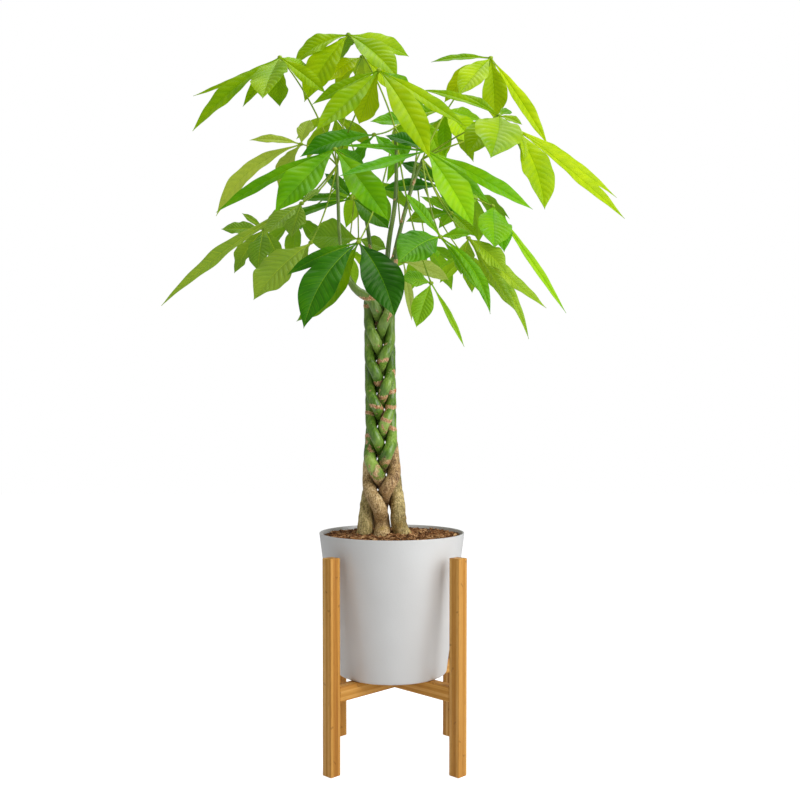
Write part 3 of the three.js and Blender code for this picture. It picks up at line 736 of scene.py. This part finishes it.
for index, (cane, stem) in enumerate(zip(canes, STEMS)):
    write_attribute(cane, "crease", crease(index, cane))
    only(cane)
    bpy.ops.object.shade_smooth()
    dress(cane, bark(index, stem["olive"], stem["cork"]))
    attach(cane, "root")
    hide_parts(f"stem_{index + 1}")

# ---- leaves ----------------------------------------------------------------------------------
# Each leaf is one grown piece: a thin stalk from the shoot, a knuckle at its end, and the
# leaflets that spread from it, each with a strong midrib and paired side veins.

VEIN_PAIRS = 13
ROWS_A_VEIN = 4
BLADE_COLUMNS = 10
BLADE_SHEET = 0.0005             # thickness between the veins
RIB_HALF_WIDTH = 0.0011
RIB_DEPTH = 0.0016
BLADE_FOLD = 0.3
BLADE_ARCH = 0.05
BLADE_BOW = 0.6
STALK_RADIUS = 0.0016
KNUCKLE_RADIUS = 0.0042
OUTLINE_POWERS = (1.75, 1.35)    # how fully a leaflet swells from its root, and from its tip
LEAF_GLOW = 0.25                 # the share of a leaf's colour given off as painted light, for light through it
BLADE_START = 0.003              # from the knuckle's middle to where a leaflet begins
STALK_KNEE = (0.38, 0.62)        # how far out and how far up a stalk has its bend
COLUMN_PLACES = (0, 0, 0.3, 0.56, 0.8, 1)   # across half a blade, from the rib to the edge


def whorl(heading, reach):
    """Six leaflets about a knuckle, the longest towards heading."""
    parts = ((28, 1.0, 42), (-32, 0.96, 45), (88, 0.86, 34), (-92, 0.88, 36), (148, 0.62, 28),
             (-150, 0.6, 30))
    leaflets = []
    for turn, length, droop in parts:
        bearing, fall = math.radians(heading + turn), math.radians(droop)
        flat = reach * length * math.cos(fall)
        leaflets.append((flat * math.cos(bearing), flat * math.sin(bearing),
                         -reach * length * math.sin(fall), 0.33 * reach * length))
    return leaflets


# A leaflet is its tip, measured from the knuckle, and its width, then its own arch and swing.
# A tone goes from 0, a deep old green, to 1, the yellow green of new leaves; leaflets that sit in
# shade are also given lower tones, which is painted shade. From 0 to 1, pale leaves are duller,
# fresh ones are a purer green, and ribbed ones have stronger veins and waves.
LEAVES = (
    dict(stem=1, root=1.072, hub=(-0.08, 0, 1.255), faces=(0, -1, 0.7),
         tier="crown", tones=(0.63, 0.77, 0.67, 0.7, 0.45, 0.45), leaflets=(
        (-0.095, 0.01, -0.045, 0.044, 0.08), (-0.075, -0.015, -0.12, 0.058),
        (0.085, -0.06, -0.095, 0.052), (0.105, 0.02, -0.03, 0.04), (-0.02, 0.11, -0.005, 0.04),
        (0.045, 0.115, -0.005, 0.04))),
    dict(stem=3, root=1.028, hub=(-0.06, 0.09, 1.25), faces=(-0.2, -1, 0.7),
         tier="crown", tones=(0.92, 0.84, 0.86, 0.72), leaflets=(
        (-0.065, -0.04, -0.06, 0.05), (-0.05, 0.02, -0.055, 0.034), (0.06, 0.01, -0.06, 0.032),
        (0.005, 0.11, -0.01, 0.044))),
    dict(stem=3, root=0.94, hub=(-0.195, -0.03, 1.205), faces=(-0.3, -1, 0.6),
         tier="crown", tones=(0.62, 0.66, 0.66, 0.55, 0.66, 0.7, 0.6), leaflets=(
        (-0.145, -0.02, -0.13, 0.038, 0.05), (-0.16, 0.06, -0.045, 0.014, -0.02),
        (-0.015, -0.11, -0.105, 0.062, 0.03), (-0.005, 0.04, -0.07, 0.048),
        (-0.065, 0.01, -0.08, 0.022, 0.02), (0.08, -0.03, -0.07, 0.026, 0.02),
        (0.05, 0.04, -0.005, 0.024, 0.02))),
    dict(stem=3, root=0.905, hub=(-0.025, -0.11, 1.155), faces=(0, -1, 0.6),
         tier="crown", tones=(0.6, 0.56, 0.86, 0.78, 0.75, 0.5), leaflets=(
        (-0.11, 0.015, -0.05, 0.026, 0.02), (-0.1, -0.045, -0.11, 0.046, -0.01),
        (-0.035, 0.055, -0.07, 0.06, 0.02), (0.08, -0.065, -0.16, 0.048, 0.05),
        (0.14, 0, -0.09, 0.028, 0.01), (0.075, 0.06, -0.04, 0.046, 0.02))),
    dict(stem=0, root=1.022, hub=(0.17, 0.04, 1.23), faces=(0.1, -1, 0.6),
         tier="crown", tones=(0.6, 0.75, 0.9, 0.8, 0.93, 0.6), leaflets=(
        (-0.105, 0.02, 0, 0.018, 0.04), (-0.06, -0.06, -0.085, 0.048, 0.03),
        (-0.08, 0.04, -0.065, 0.044, 0.05), (0.01, 0.03, -0.1, 0.048, 0.03),
        (0.1, -0.01, -0.155, 0.028, 0.02), (-0.005, 0.12, 0, 0.036, 0.02))),
    dict(stem=1, root=1.06, hub=(0.09, 0.06, 1.145), faces=(0, -1, 0.7),
         tier="crown", tones=(0.66, 0.94, 0.72, 0.66), fresh=0.5, leaflets=(
        (-0.07, 0.02, -0.01, 0.034), (0.055, -0.035, -0.075, 0.05, 0.02),
        (0.07, 0.03, -0.01, 0.034, 0.02), (0, 0.025, -0.075, 0.026))),
    dict(stem=0, root=0.995, hub=(0.17, -0.1, 1.085), faces=(0.1, -1, 0.6),
         tier="crown", tones=(0.68, 0.62, 0.62, 0.7, 0.6, 0.5), leaflets=(
        (-0.025, -0.12, -0.1, 0.076, 0.05, 0.03), (-0.125, 0.01, 0.045, 0.017, 0.05),
        (-0.06, 0.03, 0.045, 0.018, 0.03), (0.035, -0.02, -0.02, 0.016),
        (-0.055, -0.04, -0.075, 0.05), (0.025, 0.04, 0.02, 0.018))),
    dict(stem=0, root=0.975, hub=(0.205, -0.02, 1.09), faces=(0.3, -1, 0.7),
         tier="crown", tones=(0.9, 0.88, 0.89, 0.8, 0.82, 0.56), leaflets=(
        (0.19, 0, -0.155, 0.03, 0.02), (0.155, 0.06, -0.07, 0.024, 0.01),
        (0.185, 0.04, -0.11, 0.024, 0.02), (0.045, -0.05, -0.15, 0.06, 0.03, 0.05),
        (0.01, -0.05, -0.07, 0.014, 0.02, 0.08), (0.025, 0.11, -0.01, 0.04))),
    dict(stem=3, root=1.015, hub=(-0.17, 0.08, 1.09), faces=(-0.3, -1, 0.6),
         tier="middle", tones=(0.85, 0.75, 0.9, 0.8, 0.6), pale=0.6, leaflets=(
        (-0.095, 0.01, 0.01, 0.02, 0.05), (0.015, 0.02, 0.05, 0.032),
        (-0.155, 0, -0.13, 0.042, 0.07, -0.06), (-0.045, 0.03, -0.07, 0.042),
        (-0.03, 0.1, -0.01, 0.036))),
    dict(stem=3, root=1.01, hub=(-0.095, -0.14, 1.02), faces=(0, -1, 0.6),
         tier="middle", tones=(0.42, 0.47, 0.52, 0.35), fresh=0.5, leaflets=(
        (-0.19, 0, -0.1, 0.026, 0.03), (-0.09, -0.05, -0.11, 0.056, 0.02),
        (0.085, -0.06, -0.125, 0.052, 0.02), (0.05, 0.05, -0.02, 0.03))),
    dict(stem=1, root=1.05, hub=(-0.035, -0.03, 1.075), faces=(-0.1, -1, 0.7),
         tier="middle", tones=(0.36, 0.48, 0.42), fresh=0.9, leaflets=(
        (-0.125, -0.01, -0.04, 0.05, 0.06), (0.035, -0.03, -0.045, 0.022),
        (-0.04, 0.04, -0.055, 0.03))),
    dict(stem=1, root=0.925, hub=(0.05, -0.15, 1.015), faces=(0.1, -1, 0.7),
         tier="middle", tones=(0.4, 0.48, 0.28, 0.76, 0.66, 0.58, 0.48), fresh=0.8, leaflets=(
        (-0.135, -0.06, -0.055, 0.022, 0), (-0.135, 0.025, 0.015, 0.014, 0.01),
        (-0.065, 0.04, 0.035, 0.03, 0.05), (0.07, -0.055, -0.13, 0.052, 0.03),
        (0.17, 0.01, -0.09, 0.032, 0.02), (0.105, 0.04, -0.075, 0.026, 0.02),
        (0.06, 0.025, -0.105, 0.04, 0.02))),
    dict(stem=0, root=0.898, hub=(0.1, 0.03, 0.955), faces=(0, -1, 0.6),
         tier="middle", tones=(0.5, 0.5, 0.5, 0.55, 0.4), leaflets=(
        (-0.08, 0, -0.015, 0.034), (-0.055, -0.02, 0.025, 0.014, 0.02),
        (-0.035, 0.02, 0.035, 0.02, 0.02), (0.04, -0.025, -0.045, 0.036, 0.02),
        (0.03, 0.05, -0.015, 0.03, 0.02))),
    dict(stem=0, root=0.915, hub=(0.165, -0.05, 0.95), faces=(0.3, -1, 0.5),
         tier="middle", tones=(0.62, 0.56, 0.84, 0.48), fresh=0.7, leaflets=(
        (-0.005, -0.085, -0.085, 0.058, 0.02), (0.015, -0.045, -0.085, 0.04, 0.04),
        (0.125, 0, -0.18, 0.016, 0.01), (0.005, 0.08, -0.03, 0.03, 0.02))),
    dict(stem=0, root=0.87, hub=(0.07, -0.2, 0.87), faces=(0.1, -1, 0.6),
         tier="lower", tones=(0.34, 0.46, 0.57, 0.52, 0.47), fresh=0.5, ribbed=0.5, leaflets=(
        (-0.065, -0.06, -0.05, 0.06, 0.08), (-0.055, -0.01, 0.065, 0.02, 0.02),
        (0.045, -0.02, 0, 0.022, 0.04), (0.075, -0.02, -0.12, 0.022, 0.02, 0.1),
        (0.06, 0.015, -0.08, 0.018, 0.02))),
    dict(stem=0, root=0.882, hub=(0.12, -0.11, 0.885), faces=(0.3, -1, 0.6),
         tier="lower", tones=(0.6, 0.72, 0.6, 0.62, 0.5), pale=0.15, ribbed=0.8, leaflets=(
        (0.06, -0.02, -0.06, 0.04), (0.125, -0.015, -0.115, 0.028, -0.02),
        (0.08, 0.025, -0.115, 0.032, 0), (0.105, 0.045, -0.16, 0.018, 0.03, 0.05),
        (-0.01, 0.03, -0.055, 0.038))),
    dict(stem=1, root=0.86, hub=(0.06, -0.09, 0.815), faces=(0.1, -1, 0.6),
         tier="lower", tones=(0.5, 0.64, 0.76), pale=0.1, fresh=0.5, ribbed=0.6, leaflets=(
        (-0.05, -0.015, 0.005, 0.032), (-0.025, -0.025, -0.075, 0.036, 0.03),
        (0.055, 0, -0.105, 0.011, 0.02))),
    dict(stem=1, root=0.878, hub=(0.015, 0, 0.865), faces=(0.2, -1, 0.7),
         tier="lower", tones=(0.62, 0.6), pale=0.9, leaflets=(
        (0.08, 0.01, -0.03, 0.036, 0.03), (0.015, 0.02, -0.1, 0.016, 0.02))),
    dict(stem=3, root=0.868, hub=(-0.23, 0.02, 0.925), faces=(-0.4, -1, 0.6),
         tier="lower", tones=(0.42, 0.4, 0.4, 0.5, 0.4), pale=0.2, ribbed=1, leaflets=(
        (-0.04, 0.01, 0.03, 0.012, 0.02), (-0.075, 0, 0, 0.03, 0.01), (-0.005, -0.04, -0.08, 0.044),
        (-0.055, 0.015, -0.075, 0.04), (0.025, 0.02, -0.06, 0.03))),
    dict(stem=3, root=0.888, hub=(-0.155, -0.07, 0.95), faces=(-0.4, -1, 0.7),
         tier="lower", tones=(0.57, 0.46, 0.41, 0.37), pale=0.35, ribbed=1, leaflets=(
        (-0.235, 0, -0.17, 0.03, 0.04), (-0.06, -0.03, -0.06, 0.044, 0.03),
        (-0.015, -0.02, -0.06, 0.044, 0.03), (0.03, 0.03, 0.03, 0.02))),
    dict(stem=2, root=0.89, hub=(-0.075, 0.025, 0.98), faces=(-0.2, -1, 0.7),
         tier="lower", tones=(0.31, 0.24, 0.32, 0.36), leaflets=(
        (-0.15, 0, -0.05, 0.022, 0.02), (-0.05, 0.025, 0.05, 0.026, 0.02),
        (0.065, -0.035, -0.06, 0.044, 0.02), (-0.1, 0.03, 0.005, 0.02, 0.02))),
    dict(stem=3, root=0.85, hub=(-0.14, -0.07, 0.885), faces=(-0.3, -1, 0.5),
         tier="lower", tones=(0.55, 0.5), pale=0.4, ribbed=1, leaflets=(
        (-0.09, -0.04, -0.1, 0.068, 0.05), (-0.02, 0.03, -0.035, 0.03))),
    dict(stem=2, root=0.87, hub=(-0.065, 0.06, 0.915), faces=(0, -1, 0.4),
         tier="lower", tones=(0.45, 0.45), pale=0.2, leaflets=(
        (-0.09, 0, 0.005, 0.066, 0.02), (0.05, -0.01, -0.02, 0.032, 0.02))),
    dict(stem=1, root=0.906, hub=(-0.055, -0.21, 0.86), faces=(0, -1, 0.5),
         tier="lower", tones=(0.14, 0.24, 0.06, 0.55, 0.15), leaflets=(
        (-0.08, -0.045, -0.135, 0.056, 0.06, -0.05), (-0.11, 0, -0.05, 0.022, 0.04),
        (0.055, -0.06, -0.12, 0.062, 0.05, 0.03), (-0.1, 0.05, -0.115, 0.058, 0.02, 0.08),
        (0.025, 0.055, -0.06, 0.042))),
    dict(stem=4, root=0.97, hub=(0.09, 0.09, 1.015), faces=(0, -1, 0.6),
         tier="middle", tones=(0.16, 0.2, 0.2, 0.15), leaflets=(
        (-0.115, 0, -0.005, 0.03, 0.05), (-0.08, 0.04, 0.055, 0.036), (0.055, 0, -0.025, 0.026),
        (0.015, -0.01, -0.06, 0.034))),
    dict(stem=4, root=1.05, hub=(0.055, 0.14, 1.155), faces=(0, -1, 0.6),
         tier="middle", tones=(0.76, 0.68, 0.5, 0.5), fresh=0.5, leaflets=(
        (-0.06, -0.02, -0.06, 0.044), (0.035, -0.005, -0.095, 0.04),
        (-0.1, -0.03, -0.015, 0.036, 0), (-0.07, -0.04, -0.13, 0.03))),
    dict(stem=2, root=1.05, hub=(-0.115, 0.175, 1.17), faces=(-0.3, 0.4, 1),
         tier="crown", tones=(0.66, 0.56, 0.72, 0.61, 0.66, 0.51), leaflets=whorl(110, 0.105)),
    dict(stem=4, root=1.035, hub=(0.105, 0.205, 1.175), faces=(0.3, 0.4, 1),
         tier="crown", tones=(0.76, 0.66, 0.61, 0.72, 0.56, 0.66), leaflets=whorl(75, 0.105)),
    dict(stem=2, root=1.01, hub=(-0.05, 0.19, 1.055), faces=(0, 0.5, 1),
         tier="middle", tones=(0.68, 0.58, 0.68, 0.58, 0.53, 0.58), fresh=0.6, leaflets=whorl(95, 0.12)),
    dict(stem=4, root=0.995, hub=(0.15, 0.175, 1.025), faces=(0.4, 0.3, 1),
         tier="middle", tones=(0.6, 0.7, 0.55, 0.6, 0.5, 0.6), fresh=0.5, leaflets=whorl(50, 0.12)),
    dict(stem=2, root=0.95, hub=(-0.185, 0.15, 0.97), faces=(-0.4, 0.3, 1),
         tier="middle", tones=(0.4, 0.45, 0.5, 0.36, 0.4, 0.42), leaflets=whorl(135, 0.11)),
    dict(stem=4, root=0.935, hub=(0.06, 0.19, 0.93), faces=(0.1, 0.5, 1),
         tier="middle", tones=(0.62, 0.67, 0.67, 0.57, 0.57, 0.62), fresh=0.7, leaflets=whorl(80, 0.12)),
    dict(stem=2, root=0.845, hub=(-0.09, 0.18, 0.915), faces=(-0.3, 0.5, 1),
         tier="middle", tones=(0.73, 0.68, 0.78, 0.73, 0.63, 0.68), fresh=0.4, leaflets=whorl(115, 0.1)),
    dict(stem=4, root=0.9, hub=(0.13, 0.12, 0.895), faces=(0.4, 0.4, 1),
         tier="middle", tones=(0.74, 0.74, 0.78, 0.74, 0.64, 0.68), fresh=0.6, leaflets=whorl(45, 0.09)),
)


def blade_shape():
    """One flat leaflet: a grid whose rows will follow the side veins, given its thickness."""
    bpy.ops.mesh.primitive_grid_add(x_subdivisions=BLADE_COLUMNS, size=1,
                                    y_subdivisions=VEIN_PAIRS * ROWS_A_VEIN)
    blade = bpy.context.object
    blade.name = "blade_shape"
    blade.data.uv_layers[0].name = "blade"
    solid = blade.modifiers.new("sheet", "SOLIDIFY")
    solid.thickness = 0.1
    solid.offset = -1
    bpy.ops.object.modifier_apply(modifier="sheet")
    return blade


def outline(share):
    """Half width along a leaflet, 1 at its widest."""
    root, tip = OUTLINE_POWERS
    peak = root / (root + tip)
    return share**root * (1 - share)**tip / (peak**root * (1 - peak)**tip)


blade = blade_shape()
blade_points = np.empty(len(blade.data.vertices) * 3)
blade.data.vertices.foreach_get("co", blade_points)
blade_points = blade_points.reshape(-1, 3)
blade_under = blade_points[:, 2] < -0.05
blade_across = blade_points[:, 0] * -2      # from right to left, which keeps the faces outwards
blade_along = np.clip(blade_points[:, 1] + 0.5, 0, 1)


def bend_blade(name, knuckle, faces, chord, width, arch, swing, shades, dice):
    """A leaflet on its own curve from the knuckle, with its ribs, waves and tones."""
    leaflet = blade.copy()
    leaflet.data = blade.data.copy()
    leaflet.name = name
    bpy.context.collection.objects.link(leaflet)

    length = chord.length
    rise = Vector((0, 0, 1)) + faces * BLADE_BOW
    rise = (rise - rise.project(chord)).normalized()
    aside = faces.cross(chord).normalized()
    bend = np.array(knuckle + chord * 0.5 + rise * (2 * arch * length)
                    + aside * (2 * swing * length))
    root, tip = np.array(knuckle), np.array(knuckle + chord)

    half = width / 2
    column = np.abs(np.rint(blade_across * BLADE_COLUMNS / 2)).astype(int)
    spread = np.array(COLUMN_PLACES)[column]
    start = BLADE_START / length
    row = start + (1 - start) * blade_along
    ahead = 0.8 * half / length * outline(row) * spread
    share = np.clip(row + ahead, 0, 1)
    rib = RIB_HALF_WIDTH * (1.1 - 0.85 * share)
    reach = np.maximum(half * outline(share), rib * 1.05)
    side = np.sign(blade_across)
    sideways = np.where(column == 0, 0, rib + (reach - rib) * spread) * side

    between = np.abs(np.sin(math.pi * VEIN_PAIRS * blade_along)) ** 0.8
    middle = np.sin(math.pi * np.clip(spread, 0, 1) ** 0.8)
    quilt = (0.05 + 0.05 * shades["ribbed"]) * reach * between * middle
    phase = dice.uniform(0, 2 * math.pi, 3)
    waves = (np.sin(2 * math.pi * 2.3 * share + np.where(side > 0, phase[0], phase[1]))
             + 0.5 * np.sin(2 * math.pi * 5.1 * share + phase[2] + side))
    flutter = (0.08 + 0.05 * shades["ribbed"]) * reach * waves * spread**2
    fold = BLADE_FOLD * np.abs(sideways) * (1 - 0.4 * spread)
    groove = np.where(column == 0, 0.0004 * (1.1 - share), 0)
    height = fold + quilt + flutter - groove
    ribbed = np.where(column == 0, RIB_DEPTH, np.where(column == 1, 0.0004, 0))
    depth = BLADE_SHEET + ribbed * (1.05 - share)
    height = height - np.where(blade_under, depth, 0)
    twist = dice.normal(0, 0.12) * (share - 0.3)

    t = share[:, None]
    path = (1 - t)**2 * root + 2 * t * (1 - t) * bend + t**2 * tip
    along = 2 * (1 - t) * (bend - root) + 2 * t * (tip - bend)
    along /= np.linalg.norm(along, axis=1)[:, None]
    across = np.cross(np.array(faces), along)
    across /= np.linalg.norm(across, axis=1)[:, None]
    up = np.cross(along, across)
    turned = (across * np.cos(twist)[:, None] + up * np.sin(twist)[:, None])
    lifted = np.cross(along, turned)
    places = path + turned * sideways[:, None] + lifted * height[:, None]

    leaflet.data.vertices.foreach_set("co", places.ravel())
    count = len(places)
    for shade, value in shades.items():
        write_attribute(leaflet, shade, np.full(count, value))
    write_attribute(leaflet, "under", blade_under)
    return leaflet


def leaf_stalk(name, root, knuckle):
    """The stalk, thickest where it leaves the shoot and where it meets the leaflets."""
    flat = Vector((knuckle.x - root.x, knuckle.y - root.y, 0))
    knee = root + flat * STALK_KNEE[0]
    knee.z = root.z + (knuckle.z - root.z) * STALK_KNEE[1]
    handles = (root.lerp(knee, 2 / 3), knuckle.lerp(knee, 2 / 3))
    stalk = round_cane(name, ((root, STALK_RADIUS), (knuckle, STALK_RADIUS * 0.72)), 3, 28, handles)
    rings, middles = rings_of(stalk, 3)
    for place, (ring, middle) in enumerate(zip(rings, middles)):
        share = place / (len(rings) - 1)
        at_root = 0.75 * math.exp(-((share / 0.035) ** 2))
        at_knuckle = 0.7 * math.exp(-(((1 - share) / 0.03) ** 2))
        swell = 1 + at_root + at_knuckle
        ring[:] = middle + (ring - middle) * swell
    stalk.data.vertices.foreach_set("co", rings.ravel())
    return stalk


def stem_middle(stem, height):
    """The middle of a stem at a height above the floor."""
    middles, _ = stem_cores[stem]
    return Vector([np.interp(height, middles[:, 2], middles[:, axis]) for axis in range(3)])


def leaf_green(name, gloss):
    """A leaflet's finish: tones, veins and a duller underside. Thin leaves also let light through,
    which a weak glow of their own colour stands for. The glow is painted light, and it also lifts
    leaflets that face away from the lamps."""
    leaf = Finish(name, Specular_IOR_Level=gloss, Specular_Tint=(0.8, 1, 0.5, 1),
                  Emission_Strength=LEAF_GLOW)
    tone, pale, fresh, ribbed, under = (
        leaf.node("Attribute", {"attribute_name": shade}, output="Fac")
        for shade in ("tone", "pale", "fresh", "ribbed", "under"))
    spot = leaf.node("UVMap", {"uv_map": "blade"})
    across = abs(leaf.axis(spot, "X") - 0.5) * 2
    along = leaf.axis(spot, "Y")
    clouds = leaf.cloud(leaf.place(), 18, 2)
    vein_place = along * VEIN_PAIRS + 0.5
    off_vein = abs(vein_place - math.floor(vein_place) - 0.5)
    side_vein = (1 - leaf.step(off_vein, 0.015, 0.085)) * (1 - leaf.step(across, 0.75, 1))
    beside_vein = 1 - leaf.step(off_vein, 0.05, 0.4)
    midrib = 1 - leaf.step(across, 0.08, 0.16)
    # Painted shade of the quilted blade: darker beside each vein and lighter on the bulge between veins.
    # The same pattern also raises the bumps.
    quilt_shade_and_relief = (0.5 - beside_vein) * (0.05 + ribbed * 0.03)
    plain_tone = tone + (clouds - 0.5) * 0.5 - along * 0.04 + quilt_shade_and_relief
    lighter = (midrib * (0.38 - tone * 0.62 + ribbed * 0.28)
               + side_vein * (0.15 - tone * 0.19 + ribbed * 0.2))
    seen_tone = plain_tone + lighter
    warm = leaf.ramp(
        seen_tone, (0.0, (0.007, 0.075, 0.001)), (0.2, (0.030, 0.170, 0.001)),
        (0.4, (0.105, 0.300, 0.001)), (0.55, (0.200, 0.405, 0.001)),
        (0.7, (0.300, 0.495, 0.001)), (0.85, (0.400, 0.590, 0.002)), (1.0, (0.530, 0.700, 0.002)))
    cool = leaf.ramp(
        seen_tone, (0.0, (0.005, 0.075, 0.002)), (0.25, (0.030, 0.210, 0.002)),
        (0.5, (0.115, 0.430, 0.002)), (0.75, (0.240, 0.590, 0.004)), (1.0, (0.420, 0.730, 0.010)))
    colour = leaf.mix(fresh, warm, cool)
    dull = leaf.mix(pale * 0.8, colour, (0.45, 0.53, 0.11))
    duller = leaf.mix(under * 0.2, dull, (0.31, 0.45, 0.03))
    # Painted light: each leaflet glows with a share of its own colour, and its base colour loses that
    # share.
    leaf.plug(leaf.shader.inputs["Emission Color"], duller)
    relief = quilt_shade_and_relief * 3 - side_vein * 0.2 - midrib * 0.25
    return leaf.cover(leaf.mix(LEAF_GLOW, duller, (0, 0, 0)), 0.26 + under * 0.25 + clouds * 0.2,
                      relief, 0.0006)


def stalk_green(name):
    stalk = Finish(name, Specular_IOR_Level=0.4)
    clouds = stalk.cloud(stalk.place(), 30, 3)
    colour = stalk.ramp(clouds, (0.35, (0.20, 0.36, 0.006)), (0.65, (0.42, 0.56, 0.020)))
    return stalk.cover(colour, 0.45, clouds, 0.0004)


LEAF_GLOSS = {"crown": 0.13, "middle": 0.18, "lower": 0.28}   # old leaves shine the most
finishes = {tier: leaf_green(f"leaf_{tier}", gloss) for tier, gloss in LEAF_GLOSS.items()}
green_stalk = stalk_green("leaf_stalk")
dice = np.random.default_rng(23)

for number, leaf in enumerate(LEAVES, start=1):
    knuckle = Vector(leaf["hub"])
    faces = Vector(leaf["faces"])
    stalk = leaf_stalk(f"stalk_{number:02}", stem_middle(leaf["stem"], leaf["root"]), knuckle)
    bpy.ops.mesh.primitive_uv_sphere_add(segments=16, ring_count=10, radius=KNUCKLE_RADIUS,
                                         location=knuckle, scale=(1, 1, 0.8))
    knob = bpy.context.object
    settle(knob)
    dress(stalk, green_stalk)
    dress(knob, green_stalk)
    parts = [stalk, knob]
    tones = leaf["tones"]
    for order, (dx, dy, dz, width, *rest) in enumerate(leaf["leaflets"]):
        arch, swing = (rest + [BLADE_ARCH, 0][len(rest):])[:2]
        shades = {shade: leaf.get(shade, 0) for shade in ("pale", "fresh", "ribbed")}
        shades["tone"] = tones[order % len(tones)] + dice.normal(0, 0.02)
        leaflet = bend_blade(f"leaflet_{number:02}_{order}", knuckle, faces, Vector((dx, dy, dz)),
                             width, arch, swing, shades, dice)
        dress(leaflet, finishes[leaf["tier"]])
        parts.append(leaflet)
    only(*parts)
    bpy.ops.object.join()
    foliage = bpy.context.object
    foliage.name = f"foliage_{number:02}"
    bpy.ops.object.shade_smooth_by_angle(angle=math.radians(50))
    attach(foliage, "root")
    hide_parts(f"leaf_{number:02}")

bpy.data.objects.remove(blade)
